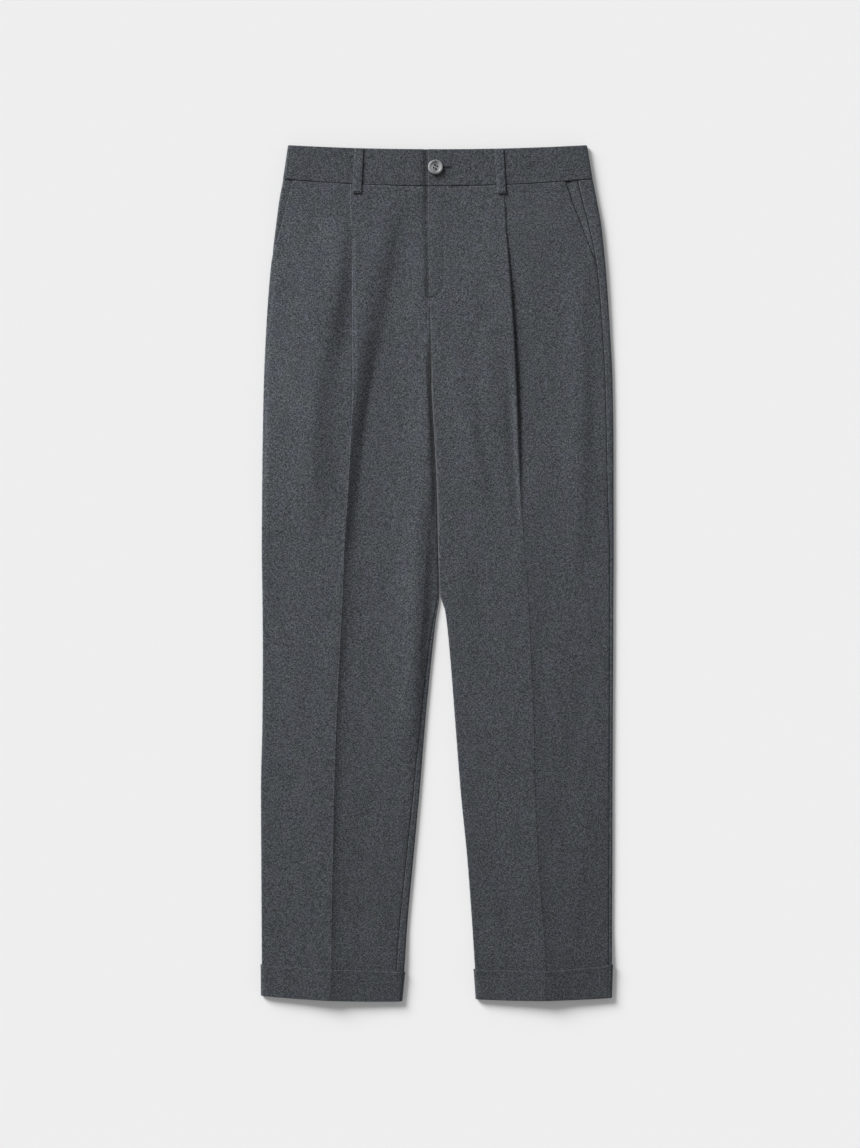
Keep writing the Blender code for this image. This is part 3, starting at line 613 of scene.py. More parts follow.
# Places where a turn-up's top edge stands away from the leg
GAPE_COLUMNS = "out width height"
LEFT_GAPES = ((51, 4, 0.9), (66, 7, 0.9), (139, 4, 0.7), (214, 4, 0.6))
RIGHT_GAPES = ((50, 5, 0.9), (41, 3, 0.7), (126, 4, 0.6))

# Shallow wrinkles of the front band
WRINKLE_COLUMNS = "start end down slope width height"
LEFT_WRINKLES = ((25, 108, 21.5, -0.02, 1.8, -0.28), (110, 170, 15, 0.04, 3, -0.15))
RIGHT_WRINKLES = ((15, 70, 26, 0.03, 6, -0.35), (115, 170, 19, -0.02, 4, -0.15))


def by_side(make, columns, left, right):
    return {"left": make(columns, left), "right": make(columns, right)}


PLANS = by_side(table, PLAN_COLUMNS, LEFT_PLAN, RIGHT_PLAN)
LEVELS = by_side(table, LEVEL_COLUMNS, LEFT_LEVELS, RIGHT_LEVELS)
SEAMS = by_side(table, SEAM_COLUMNS, LEFT_SEAMS, RIGHT_SEAMS)
PRESSES = by_side(table, PRESS_COLUMNS, LEFT_PRESS, RIGHT_PRESS)
BROAD_FOLDS = by_side(records, FOLD_COLUMNS, LEFT_BROAD_FOLDS, RIGHT_BROAD_FOLDS)
FINE_FOLDS = by_side(records, FOLD_COLUMNS, LEFT_FINE_FOLDS, RIGHT_FINE_FOLDS)
GAPES = by_side(records, GAPE_COLUMNS, LEFT_GAPES, RIGHT_GAPES)
WRINKLES = by_side(records, WRINKLE_COLUMNS, LEFT_WRINKLES, RIGHT_WRINKLES)


def read(columns, name, down):
    """A column's value at a level, on a smooth curve that never overshoots its rows."""
    places, values = columns["down"], columns[name]
    steps = np.diff(places)
    slopes = np.diff(values) / steps
    product = slopes[1:] * slopes[:-1]
    total = np.where(product > 0, slopes[1:] + slopes[:-1], 1.0)
    inner = np.where(product > 0, 2 * product / total, 0.0)
    tangents = np.concatenate([[slopes[0]], inner, [slopes[-1]]])
    down = np.clip(down, places[0], places[-1])
    k = int(np.clip(np.searchsorted(places, down) - 1, 0, len(steps) - 1))
    t = (down - places[k]) / steps[k]
    rise = values[k + 1] - values[k]
    bend = (t - 1) * tangents[k] + t * tangents[k + 1]
    return values[k] + rise * t * t * (3 - 2 * t) + steps[k] * t * (t - 1) * bend


# Shape of the garment

def smooth(share):
    """A step from 0 to 1 with level ends."""
    share = np.clip(share, 0.0, 1.0)
    return share * share * (3 - 2 * share)


def lift(down):
    """How far the leg's tube lies above the floor, where the turn-up passes under it."""
    return TURN_UP_OFFSET * smooth((down - LIFT_START) / (TURN_UP_TOP - LIFT_START))


def across_leg(side, out, down):
    """A place's share of the way across the leg at a level, from its outer edge to its inner one."""
    outer, inner = read(PLANS[side], "outer", down), read(PLANS[side], "inner", down)
    return np.clip((outer - out) / (outer - inner), 0, 1)


def row_y(side, out, down):
    """The y of points on the row at this level: rows dip at the waist's middle and follow the hem."""
    half = read(PLANS[side], "outer", 0.0)
    bow = 1 - np.clip(SIDES[side] * out / half, -1, 1) ** 2
    if down < BAND_DEPTH:
        dip = WAIST_DIP + (SEAM_DIP - WAIST_DIP) * down / BAND_DEPTH
    else:
        dip = SEAM_DIP * math.exp(-(((down - BAND_DEPTH) / DIP_FADE) ** 2))
    across = across_leg(side, out, HEM)
    hem = HEM_TILT[side] * (across - 0.5) + HEM_BOW * 4 * across * (1 - across)
    return TOP_Y - down - dip * bow - hem * smooth((down - HEM + HEM_FADE) / HEM_FADE)


def level_y(side, x, down):
    return float(row_y(side, np.array([SIDES[side] * x]), down)[0])


def folded(folds, out, down):
    """How far these soft folds raise the front here."""
    height = np.zeros_like(out)
    for fold in folds:
        along = (down - fold["start_down"]) / (fold["end_down"] - fold["start_down"])
        if 0 < along < 1:
            centre = fold["start_out"] + along * (fold["end_out"] - fold["start_out"])
            centre += fold["bow"] * math.sin(math.pi * along)
            width = np.where(out < centre, fold["width_in"], fold["width_out"])
            spread = np.exp(-(((out - centre) / width) ** 2))
            height += fold["height"] * math.sin(math.pi * along) ** FOLD_POWER * spread
    return height


def unevenness(side, out, down):
    """The cloth's slow waves."""
    height = np.zeros_like(out)
    for wave in WAVES:
        turn = 2 * math.pi * (SIDES[side] * out / wave["across"] + down / wave["down"])
        height += wave["height"] * np.sin(turn + wave["phase"])
    return height


def leg_row(side, down):
    """All that the sections at this level need, as one dictionary."""
    row = {"side": side, "down": down}
    for columns in (PLANS[side], LEVELS[side], SEAMS[side], PRESSES[side]):
        for name in columns:
            if name != "down":
                row[name] = float(read(columns, name, down))
    raised = lift(down)
    for name in ("inner_level", "crest", "low", "outer_level"):
        row[name] += raised
    row["floor"] = FLOOR_LEVEL + raised
    row["inner_radius"] = (row["inner_level"] - row["floor"]) / 2
    row["outer_radius"] = (row["outer_level"] - row["floor"]) / 2
    row["outer"] -= WALL / 2
    row["inner"] += SEAM_GAP / 2 + WALL / 2 * math.sin(min(inner_turn(row), math.pi / 2))
    return row


def pleat_turn(height, lap, radius):
    """The angle that each fold of the pleat turns, and the straight run between the two folds."""

    def straight(turn):
        return (height - 2 * radius * (1 - math.cos(turn))) / math.sin(turn)

    low, high = LEAST_PLEAT_TURN, MOST_PLEAT_TURN
    for _ in range(TURN_HALVINGS):
        middle = (low + high) / 2
        advance = 2 * radius * math.sin(middle) + straight(middle) * math.cos(middle)
        low, high = (middle, high) if advance > -lap else (low, middle)
    turn = (low + high) / 2
    return turn, max(straight(turn), LEAST_RUN)


def pleat_line(row):
    """The S of the pleat in section, from the end of the upper layer to the start of the lower one."""
    height = row["crest"] - row["low"]
    turn, straight = pleat_turn(height, row["lap"], row["round"])
    start = row["crease"] - row["round"] * math.sin(min(turn, math.pi / 2))
    angles = np.linspace(0, turn, FOLD_STEPS + 1)
    upper = pairs(np.sin(angles), np.cos(angles) - 1) * row["round"]
    upper += (start, row["crest"])
    run = straight * np.array([math.cos(turn), -math.sin(turn)])
    lower = pairs(-np.sin(angles[::-1]), 1 - np.cos(angles[::-1])) * row["round"]
    lower += upper[-1] + run - lower[0]
    return np.concatenate([upper, lower])


def top_levels(row, outs, edge_level, crest_level, across, steep):
    """The front's height between an edge and the crease. across is 0 at the crease and 1 at the edge."""
    width = abs(outs[-1] - outs[0])
    share = (1 - across) ** TENT_POWER
    if crest_level < edge_level:
        share = np.exp(-across * width / PLEAT_REACH) * (1 - across)
    if steep:
        pressed = np.exp(-across * width / row["reach"]) * (1 - across)
        share = row["press"] * pressed + (1 - row["press"]) * share
    ends = np.clip(6 * across * (1 - across), 0, 1)
    tight = smooth(np.minimum(across, 1 - across) * width / FOLD_FADE)
    level = edge_level + (crest_level - edge_level) * share - SAG * np.sin(math.pi * across) ** 2
    side, down = row["side"], row["down"]
    level += ends * folded(BROAD_FOLDS[side], outs, down)
    level += tight * (folded(FINE_FOLDS[side], outs, down) + unevenness(side, outs, down))
    return level + tight * (settled(level, FRONT_FLOOR + lift(down)) - level)


def settled(level, floor):
    """A height that comes to rest softly on the layer below it."""
    above = level - floor
    return floor + (above + np.sqrt(above * above + FRONT_SETTLE * FRONT_SETTLE)) / 2


# Lines in a section, as points of out and level

def pairs(first, second):
    return np.stack([first, second], axis=1)


def arc(centre, radius, start, end, steps=ARC_STEPS):
    """Points of an arc. Angles are from straight up, clockwise towards the outer side."""
    angles = np.linspace(start, end, steps + 1)
    return pairs(centre[0] + radius * np.sin(angles), centre[1] + radius * np.cos(angles))


def lengths(line):
    """The length along a line to each of its points."""
    return np.concatenate([[0.0], np.cumsum(np.hypot(*np.diff(line, axis=0).T))])


def pick(line, start, end, shares):
    """Points of a line between two lengths along it."""
    run = lengths(line)
    at = start + (end - start) * np.asarray(shares)
    return pairs(np.interp(at, run, line[:, 0]), np.interp(at, run, line[:, 1]))


def shares(count, ends=0.25):
    """Shares from 0 to 1 in this many steps, closer together at both ends."""
    even = np.linspace(0, 1, count + 1)
    return ends * even + (1 - ends) * (1 - np.cos(math.pi * even)) / 2


def corner_normals(line):
    """Normals at a line's inner points, lengthened at corners so that moved runs stay parallel."""
    along = np.diff(line, axis=0)
    along /= np.linalg.norm(along, axis=1)[:, None]
    across = pairs(-along[:, 1], along[:, 0])
    both = across[:-1] + across[1:]
    return 2 * both / np.maximum((both * both).sum(axis=1), CORNER_LEAST)[:, None]


def line_normals(line):
    """Normals of an open line, pointing out of the garment."""
    return corner_normals(np.concatenate([2 * line[:1] - line[1:2], line, 2 * line[-1:] - line[-2:-1]]))


def rolled(line, start, end):
    """A line whose two ends turn in towards the inside of the garment, as cloth does at a seam."""
    run = lengths(line)
    near = start * np.clip(1 - run / SEAM_REACH, 0, 1) ** 2
    far = end * np.clip(1 - (run[-1] - run) / SEAM_REACH, 0, 1) ** 2
    return line - line_normals(line) * (near + far)[:, None]


def placed(side, line, down):
    """Points of a section as x, y, z."""
    out, level = line[:, 0], line[:, 1]
    return np.stack([SIDES[side] * out, row_y(side, out, down), level], axis=1)


def rows_of(runs):
    """Levels down the garment from the waistband's seam, evenly spaced in each run."""
    levels = [BAND_DEPTH + SEAM_GAP]
    for end, count in runs:
        levels += list(np.linspace(levels[-1], end, count + 1)[1:])
    return levels


# Sections of the panels

def inner_turn(row):
    """How far the front turns down at its inner edge: half a turn once the legs part."""
    if row["down"] >= CROTCH:
        return math.pi
    return min(row["inseam"] / row["inner_radius"], math.pi / 2)


def inner_centre(row):
    return row["inner"] + math.sin(min(inner_turn(row), math.pi / 2)) * row["inner_radius"]


def inner_line(row, lap=0.0):
    """From round the inner edge across the top to the pleat, and the length before the top starts."""
    radius, turn = row["inner_radius"], inner_turn(row)
    centre = (inner_centre(row), row["inner_level"] - radius)
    end = pleat_line(row)[0]
    outs = np.linspace(centre[0], end[0], DENSE)
    across = (end[0] - outs) / (end[0] - centre[0])
    levels = top_levels(row, outs, row["inner_level"], row["crest"], across, row["side"] == "right")
    top = pairs(outs, levels)
    if turn > LEAST_TURN:
        return np.concatenate([arc(centre, radius, -turn, 0)[:-1], top]), radius * turn
    if lap > 0:
        return np.concatenate([[(centre[0] - lap, row["inner_level"])], top]), lap
    return top, 0.0


def outer_line(row):
    """From the pleat across the top and round the outer edge, and the length before the edge turns."""
    radius = row["outer_radius"]
    start = pleat_line(row)[-1]
    centre = (row["outer"] - radius, row["outer_level"] - radius)
    outs = np.linspace(start[0], centre[0], DENSE)
    across = (outs - start[0]) / (centre[0] - start[0])
    levels = top_levels(row, outs, row["outer_level"], row["low"], across, row["side"] == "left")
    top = pairs(outs, levels)
    return np.concatenate([top, arc(centre, radius, 0, math.pi)[1:]]), lengths(top)[-1]


def fly_lap(side, down):
    """How far the right front runs under the left one at the fly."""
    if side == "left" or down > FLY_END:
        return 0.0
    return FLY_LAP * (1 - smooth((down - FLY_END + FLY_TAPER) / FLY_TAPER))


def front_inner(row, steps=INNER_STEPS):
    """The front from its inner edge, or from its lapped edge at the fly, to the pleat."""
    side, down = row["side"], row["down"]
    line, edge = inner_line(row, fly_lap(side, down))
    start = edge - row["inseam"] + SEAM_GAP / 2 if down > CENTRE_DIP else 0.0
    points = pick(line, max(start, 0.0), lengths(line)[-1], shares(steps))
    if side == "right" and down < FLY_SETTLED:
        lapped = 1 - smooth((down - FLY_END) / (FLY_SETTLED - FLY_END))
        near = 1 - smooth((points[:, 0] - row["inner"] - WALL) / FLY_RAMP)
        gap = np.exp(-(((points[:, 0] - row["inner"] - FLY_GAP_OUT) / FLY_GAP_WIDTH) ** 2))
        points[:, 1] -= (FLY_DROP * near + FLY_GAP * gap) * lapped
    return points


def opening_end(row, edge):
    """The length along the outer line to where the front ends at the side seam or the pocket."""
    return edge + row["outseam"] - row["pocket"] - SEAM_GAP / 2


def front_outer(row, steps=OUTER_STEPS):
    """The front from the pleat to the side seam, or to the pocket opening where there is one."""
    line, edge = outer_line(row)
    return pick(line, 0.0, opening_end(row, edge), shares(steps))


def front_section(side, down):
    row = leg_row(side, down)
    line = np.concatenate([front_inner(row)[:-1], pleat_line(row), front_outer(row)[1:]])
    opening = smooth(row["pocket"] / POCKET_TIP)
    inner_roll = 0.0 if down < FLY_SETTLED else SEAM_ROLL
    return placed(side, rolled(line, inner_roll, SEAM_ROLL + (EDGE_ROLL - SEAM_ROLL) * opening), down)


def back_line(row):
    """The back from the side seam round the outer edge, along the floor and round the inner edge."""
    line, edge = outer_line(row)
    wrap = shares(WRAP_STEPS, ends=0.5)
    outer = pick(line, edge + row["outseam"] + SEAM_GAP / 2, lengths(line)[-1], wrap)
    radius, turn = row["inner_radius"], inner_turn(row)
    if row["down"] >= CROTCH:
        line, edge = inner_line(row)
        inner = pick(line, edge - row["inseam"] - SEAM_GAP / 2, 0.0, wrap)[::-1]
    elif turn > LEAST_TURN:
        rise = arc((inner_centre(row), row["floor"] + radius), radius, -math.pi + turn, -math.pi)
        inner = pick(rise, 0.0, radius * turn, wrap)[::-1]
    else:
        run = (1 - wrap[::-1]) * WALL
        inner = pairs(row["inner"] + WALL - run, np.full_like(run, row["floor"]))
    floor = np.linspace(outer[-1], inner[0], FLOOR_STEPS + 1)
    return np.concatenate([outer[:-1], floor, inner[1:]])


def back_section(side, down):
    inseam_roll = SEAM_ROLL if down > CROTCH else 0.0
    return placed(side, rolled(back_line(leg_row(side, down)), SEAM_ROLL, inseam_roll), down)


def pocket_section(side, down):
    """The side piece, from under the front, dropped below it, out to the side seam."""
    row = leg_row(side, down)
    line, edge = outer_line(row)
    opening, end = row["pocket"] - SEAM_GAP, opening_end(row, edge)
    hidden = end * np.linspace(1 - POCKET_LAP, 1, HIDDEN_STEPS + 1)
    share = np.linspace(0, 1, OPENING_STEPS + 1)[1:]
    shown = end + max(opening, POCKET_LEAST) * share
    points = pick(line, 0.0, 1.0, np.concatenate([hidden, shown]))
    edge_drop = POCKET_EDGE_DROP[side] * (1 - np.concatenate([[0.0], share]))
    drop = np.concatenate([np.full(HIDDEN_STEPS, POCKET_DROP), edge_drop])
    drop = np.maximum(drop, POCKET_DROP * (1 - smooth(opening / POCKET_TIP)))
    return placed(side, rolled(points - line_normals(points) * drop[:, None], 0.0, SEAM_ROLL), down)


# Sections of the waistband

def band_row(side, down):
    outer = float(read(PLANS[side], "outer", down)) - BAND_WALL / 2
    inner = float(read(PLANS[side], "inner", down)) + SEAM_GAP / 2
    return outer, inner


def band_level(side, outs):
    """The middle of the front band: it sags a little, and the right one drops to pass under the left."""
    outer, inner = band_row(side, BAND_DEPTH / 2)
    share = np.clip((outer - BAND_LEVEL - outs) / (outer - BAND_LEVEL - inner), 0, 1)
    level = BAND_LEVEL - BAND_SAG * np.sin(math.pi * share) ** 2
    if side == "right":
        level -= BAND_DROP * (1 - smooth((outs - inner - BAND_WALL / 2) / BAND_RAMP))
    return level


def band_section(side, down):
    """From the centre back along the floor, round the side and across the front to the closing."""
    outer, inner = band_row(side, down)
    radius = (BAND_LEVEL - BAND_WALL / 2) / 2
    bend = arc((outer - radius, BAND_WALL / 2 + radius), radius, math.pi, 0, BEND_STEPS)
    back = np.linspace((inner, BAND_WALL / 2), bend[0], FLOOR_STEPS + 1)
    ramp = inner + BAND_WALL / 2 + BAND_RAMP * np.linspace(1, 0, RAMP_STEPS + 1)
    outs = np.concatenate([np.linspace(bend[-1][0], ramp[0], BAND_STEPS + 1)[:-1], ramp])
    if side == "left":
        outs = np.concatenate([outs[:-1], outs[-1] - BAND_WALL / 2 * shares(BAND_EDGE_STEPS)])
    front = pairs(outs, band_level(side, outs))
    if side == "right":
        lap = np.linspace(front[-1], (inner - BAND_LAP, front[-1][1]), RAMP_STEPS + 1)
        front = np.concatenate([front[:-1], lap])
    return placed(side, np.concatenate([back[:-1], bend, front[1:]]), down)


def band_top(side, out):
    """The height of the waistband's upper face."""
    return float(band_level(side, np.array([out]))[0]) + BAND_WALL / 2


# Meshes

def new_piece(name, mesh, finish):
    """A piece of the object that rides on its one body."""
    piece = bpy.data.objects.new(name, mesh)
    GARMENT.objects.link(piece)
    mesh.materials.append(finish)
    mesh.shade_smooth()
    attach(piece, "root")
    return piece


def grid_lengths(grid, axis):
    """The length along each line of a grid's points, from its start."""
    steps = np.linalg.norm(np.diff(grid, axis=axis), axis=2)
    start = np.zeros_like(np.take(steps, [0], axis=axis))
    return np.concatenate([start, np.cumsum(steps, axis=axis)], axis=axis)


def edge_distance(grid, axis):
    """How far each of a grid's points is from the nearer end of its line."""
    run = grid_lengths(grid, axis)
    return np.minimum(run, np.take(run, [-1], axis=axis) - run)


def edge_factor(grid, wall):
    """The wall's thickness near the grid's edges, as a share, so that the edges come out round."""
    far = np.minimum(edge_distance(grid, 0), edge_distance(grid, 1))
    near = np.clip(far / (wall / 2), 0, 1)
    return EDGE_LEAST + (1 - EDGE_LEAST) * np.sqrt(1 - (1 - near) ** 2)


def quads(first, second, third, fourth):
    return np.stack([first, second, third, fourth], axis=-1).reshape(-1, 4)


def shell_faces(rows, columns, mirrored):
    """Quads of a wall's outer face, its inner face and its four rims, all turned outwards."""
    index = np.arange(rows * columns).reshape(rows, columns)
    other = index + rows * columns
    outer = quads(index[:-1, :-1], index[1:, :-1], index[1:, 1:], index[:-1, 1:])
    inner = quads(other[:-1, :-1], other[:-1, 1:], other[1:, 1:], other[1:, :-1])
    edges = (
        (index[:-1, 0], index[1:, 0]),
        (index[-1, :-1], index[-1, 1:]),
        (index[1:, -1], index[:-1, -1]),
        (index[0, 1:], index[0, :-1]),
    )
    rims = [quads(b, a, a + rows * columns, b + rows * columns) for a, b in edges]
    faces = np.concatenate([outer, inner, *rims])
    return faces[:, ::-1] if mirrored else faces


def mesh_of(name, points, faces, places):
    """A mesh with its places on the flat cloth, in metres, as its UV map."""
    mesh = bpy.data.meshes.new(name)
    mesh.from_pydata(points.tolist(), [], faces.tolist())
    layer = mesh.uv_layers.new(name="cloth")
    corners = np.empty(len(mesh.loops), int)
    mesh.loops.foreach_get("vertex_index", corners)
    layer.data.foreach_set("uv", places[corners].ravel())
    return mesh


def flat_places(grid, levels):
    """Where each of a grid's points lies on the flat cloth: along its row, and down."""
    run = grid_lengths(grid, 1)
    return np.stack([run, np.broadcast_to(levels, run.shape)], axis=-1).reshape(-1, 2)


def grid_normals(grid, side):
    """Unit normals of a grid of points, pointing out of the garment."""
    normals = SIDES[side] * np.cross(np.gradient(grid, axis=0), np.gradient(grid, axis=1))
    return normals / np.linalg.norm(normals, axis=2)[..., None]


def add_wall(node, side, sections, levels, finish, relief, wall=WALL):
    """A wall of cloth whose middle runs through sections, in a node's place. relief raises its face."""
    name = f"cloth_{node}_{side}"
    grid, levels = np.array(sections), np.array(levels)[:, None]
    normals = grid_normals(grid, side)
    half = (wall / 2 * edge_factor(grid, wall))[..., None]
    outer = grid + normals * (half + relief(grid, levels)[..., None])
    inner = grid - normals * half
    points = np.concatenate([outer.reshape(-1, 3), inner.reshape(-1, 3)])
    places = flat_places(grid, levels)
    faces = shell_faces(*grid.shape[:2], SIDES[side] < 0)
    piece = new_piece(name, mesh_of(name, points, faces, np.concatenate([places, places])), finish)
    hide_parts(f"{node}_{side}")
    return piece


def carve(piece, cutters):
    """Cuts the cutters out of a piece for good, with its other modifiers applied, and removes them."""
    for cutter in cutters:
        cut = piece.modifiers.new("cut", "BOOLEAN")
        cut.operation = "DIFFERENCE"
        cut.object = cutter
    graph = bpy.context.evaluated_depsgraph_get()
    mesh = bpy.data.meshes.new_from_object(piece.evaluated_get(graph))
    piece.modifiers.clear()
    piece.data = mesh
    for cutter in cutters:
        bpy.data.objects.remove(cutter)


def drill(radius, sides, depth, place):
    """An upright round cutter with its middle at a place."""
    bpy.ops.mesh.primitive_cylinder_add(vertices=sides, radius=radius, depth=depth)
    cutter = bpy.context.active_object
    cutter.location = place
    return cutter


# Panels

def seam_dip(levels):
    """How far the cloth dips at the waistband's seam, for each level."""
    return BAND_SEAM_DIP * np.clip(1 - np.abs(levels - BAND_DEPTH) / BAND_SEAM_REACH, 0, 1) ** 2


def puckers(grid, levels, phase):
    """Small waves beside the seams that are sewn along the leg."""
    wave = np.sin(2 * math.pi * levels / PUCKER_LENGTH + 3 * np.sin(levels / PUCKER_DRIFT) + phase)
    return PUCKER * wave * np.exp(-edge_distance(grid, 1) / PUCKER_REACH)


def right_front_relief(grid, levels):
    return puckers(grid, levels, 0.0) - seam_dip(levels)


def left_front_relief(grid, levels):
    return right_front_relief(grid, levels) - fly_groove(grid, levels)


def back_relief(grid, levels):
    above = smooth((grid[..., 2] - BACK_RELIEF_START) / RELIEF_GROWTH)
    return above * (puckers(grid, levels, 1.0) - seam_dip(levels))


def pocket_relief(grid, levels):
    return np.broadcast_to(-seam_dip(levels), grid.shape[:2])


def fly_path():
    """The fly's stitch line from the waistband down and in a curve to the fly's edge, as x and down."""
    downs = np.linspace(FLY_STITCH_START, FLY_CURVE_START, FLY_STEPS[0])
    turn = np.linspace(0, math.pi / 2, FLY_STEPS[1])
    wide, deep = FLY_STITCH_X - FLY_STITCH_END_X, FLY_STITCH_END - FLY_CURVE_START
    curve = pairs(FLY_STITCH_END_X + wide * np.cos(turn), FLY_CURVE_START + deep * np.sin(turn))
    return np.concatenate([pairs(np.full_like(downs, FLY_STITCH_X), downs), curve[1:]])


def fly_groove(grid, levels):
    """How deep the fly's stitches draw the cloth in at each point of the left front."""
    path = fly_path()
    x = grid[..., 0]
    down = np.broadcast_to(levels, x.shape)
    near = (np.abs(x - FLY_STITCH_X) < FLY_GROOVE_BESIDE) & (down < FLY_STITCH_END + FLY_GROOVE_BELOW)
    away = np.hypot(x[near][:, None] - path[None, :, 0], down[near][:, None] - path[None, :, 1]).min(axis=1)
    growth = smooth((down[near] - FLY_GROOVE_GROWS) / FLY_GROOVE_GROWTH)
    strength = FLY_GROOVE * (FLY_GROOVE_LEAST + (1 - FLY_GROOVE_LEAST) * growth)
    depth = np.zeros_like(x)
    depth[near] = strength * np.exp(-((away / FLY_GROOVE_REACH) ** 2))
    return depth


def add_panels(cloth):
    levels = rows_of(PANEL_RUNS)
    reliefs = {"left": left_front_relief, "right": right_front_relief}
    for side in SIDES:
        fronts = [front_section(side, down) for down in levels]
        add_wall("front", side, fronts, levels, cloth, reliefs[side])
        backs = [back_section(side, down) for down in levels]
        add_wall("back", side, backs, levels, cloth, back_relief)


def add_pocket_sides(cloth):
    levels = rows_of(POCKET_RUNS)
    for side in SIDES:
        sections = [pocket_section(side, down) for down in levels]
        add_wall("pocket_side", side, sections, levels, cloth, pocket_relief)


# Turn-ups

def turn_up_profile():
    """The turn-up's section down the leg, as offsets from the leg's middle and levels."""
    outer, inner = TURN_UP_OFFSET + WALL / 2, TURN_UP_OFFSET - WALL / 2
    start, end = TURN_UP_TOP + TOP_ROUND, HEM - HEM_ROUND
    turns = np.linspace(0, math.pi, TOP_ROUND_POINTS)
    corner = np.linspace(0, math.pi / 2, HEM_ROUND_POINTS)[1:]
    top = [(TURN_UP_OFFSET - WALL / 2 * math.cos(t), start - TOP_ROUND * math.sin(t)) for t in turns]
    face = [(outer, down) for down in np.linspace(start, end, TURN_UP_ROWS)[1:]]
    bottom = [(outer - HEM_ROUND + HEM_ROUND * math.cos(t), end + HEM_ROUND * math.sin(t)) for t in corner]
    inside = [(-WALL / 2, HEM), (-WALL / 2, HEM - WALL), (inner, HEM - WALL)]
    back = [(inner, down) for down in np.linspace(HEM - WALL, start, TURN_UP_ROWS)[1:-1]]
    return top + face + bottom + inside + back


def top_shift(side, out):
    """How far the turn-up's top edge lies below its level: it is folded a little askew."""
    across = across_leg(side, out, TURN_UP_TOP)
    return TOP_START[side] + TOP_TILT * across + TOP_BOW[side] * 4 * across * (1 - across)


def ring_line(side, down):
    """A closed line round the whole leg. Its sharp bends are eased, as an outer layer's are."""
    row = leg_row(side, down)
    front = (front_inner(row, RING_INNER_STEPS), front_outer(row, RING_OUTER_STEPS))
    line = np.concatenate([*front, back_line(row)[1:-1]])
    for _ in range(BRIDGE_ROUNDS):
        line = (np.roll(line, 1, axis=0) + 2 * line + np.roll(line, -1, axis=0)) / 4
    return line


def stand_off(side, line):
    """How far a turn-up's top edge stands away from the leg: here and there it gapes a little."""
    height = np.zeros(len(line))
    for gape in GAPES[side]:
        height += gape["height"] * np.exp(-(((line[:, 0] - gape["out"]) / gape["width"]) ** 2))
    return height * (line[:, 1] > FRONT_LEAST)


def hem_relief(side, line, down):
    """A turn-up's mark: the side seam that runs on down the left one, or the right one's crescent."""
    out, on_top = line[:, 0], line[:, 1] > FRONT_LEAST
    if side == "left":
        row = leg_row(side, down)
        seam = out - (row["outer"] + row["outseam"] - row["outer_radius"])
        return -HEM_SEAM * np.exp(-((seam / HEM_SEAM_WIDTH) ** 2)) * on_top
    bend = ((out - CRESCENT_OUT) / CRESCENT_HALF) ** 2
    trough = np.exp(-(((down - CRESCENT_DOWN + CRESCENT_BEND * bend) / CRESCENT_WIDTH) ** 2))
    return -CRESCENT_DEPTH * trough * np.clip(1 - bend, 0, 1) * on_top


def turn_up_ring(side, offset, down):
    """A row of the turn-up: the line round the leg moved out by an offset, with the cloth's small faults."""
    line = ring_line(side, down)
    out = line[:, 0]
    rise = 1 - smooth((down - TURN_UP_TOP) / GAPE_DEPTH)
    moved = np.full_like(out, offset)
    if offset > 0:
        moved += stand_off(side, line) * rise
        moved += TOP_BEAD * math.exp(-(((down - TURN_UP_TOP) / TOP_ROUND / 2) ** 2))
    if offset > TURN_UP_OFFSET:
        moved += hem_relief(side, line, down)
    normals = corner_normals(np.concatenate([line[-1:], line, line[:1]]))
    ring = placed(side, line + normals * moved[:, None], down)
    wobble = np.sin(out / WOBBLE_LENGTH + WOBBLE_BEND * np.sin(out / WOBBLE_DRIFT))
    ring[:, 1] += EDGE_WOBBLE * rise * wobble - top_shift(side, out) * (HEM - down) / TURN_UP_DEPTH
    return ring


def add_turn_ups(cloth):
    """Each turn-up comes down outside the leg and turns in under its end, as far as its inner face."""
    profile = turn_up_profile()
    levels = np.array([[down] for _, down in profile])
    for side in SIDES:
        name = "cloth_turn_up_" + side
        grid = np.array([turn_up_ring(side, offset, down) for offset, down in profile])
        rows, columns = grid.shape[:2]
        index = np.arange(rows * columns).reshape(rows, columns)
        below, beside = np.roll(index, -1, axis=0), np.roll(index, -1, axis=1)
        faces = quads(index, below, np.roll(below, -1, axis=1), beside)
        faces = faces[:, ::-1] if SIDES[side] < 0 else faces
        mesh = mesh_of(name, grid.reshape(-1, 3), faces, flat_places(grid, levels))
        piece = new_piece(name, mesh, cloth)
        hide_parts("turn_up_" + side)


# Waistband and belt loops

def band_relief(side):
    """The waistband's edge that turns in at its seam, and the shallow wrinkles of its front."""

    def relief(grid, levels):
        top = smooth((grid[..., 2] - BAND_RELIEF_START) / RELIEF_GROWTH)
        raised = -BAND_DIP_SHARE * seam_dip(levels) * top
        out = SIDES[side] * grid[..., 0]
        for wrinkle in WRINKLES[side]:
            along = (out - wrinkle["start"]) / (wrinkle["end"] - wrinkle["start"])
            inside = np.clip(4 * along * (1 - along), 0, 1)
            centre = wrinkle["down"] + wrinkle["slope"] * (out - wrinkle["start"])
            trough = np.exp(-(((levels - centre) / wrinkle["width"]) ** 2))
            raised = raised + wrinkle["height"] * inside * trough * top
        return raised

    return relief


def add_waistband(cloth):
    levels = BAND_DEPTH * shares(BAND_ROWS, ends=0.35)
    for side in SIDES:
        sections = [band_section(side, down) for down in levels]
        band = add_wall("waistband", side, sections, levels, cloth, band_relief(side), BAND_WALL)
        if side == "left":
            cut_keyhole(band)


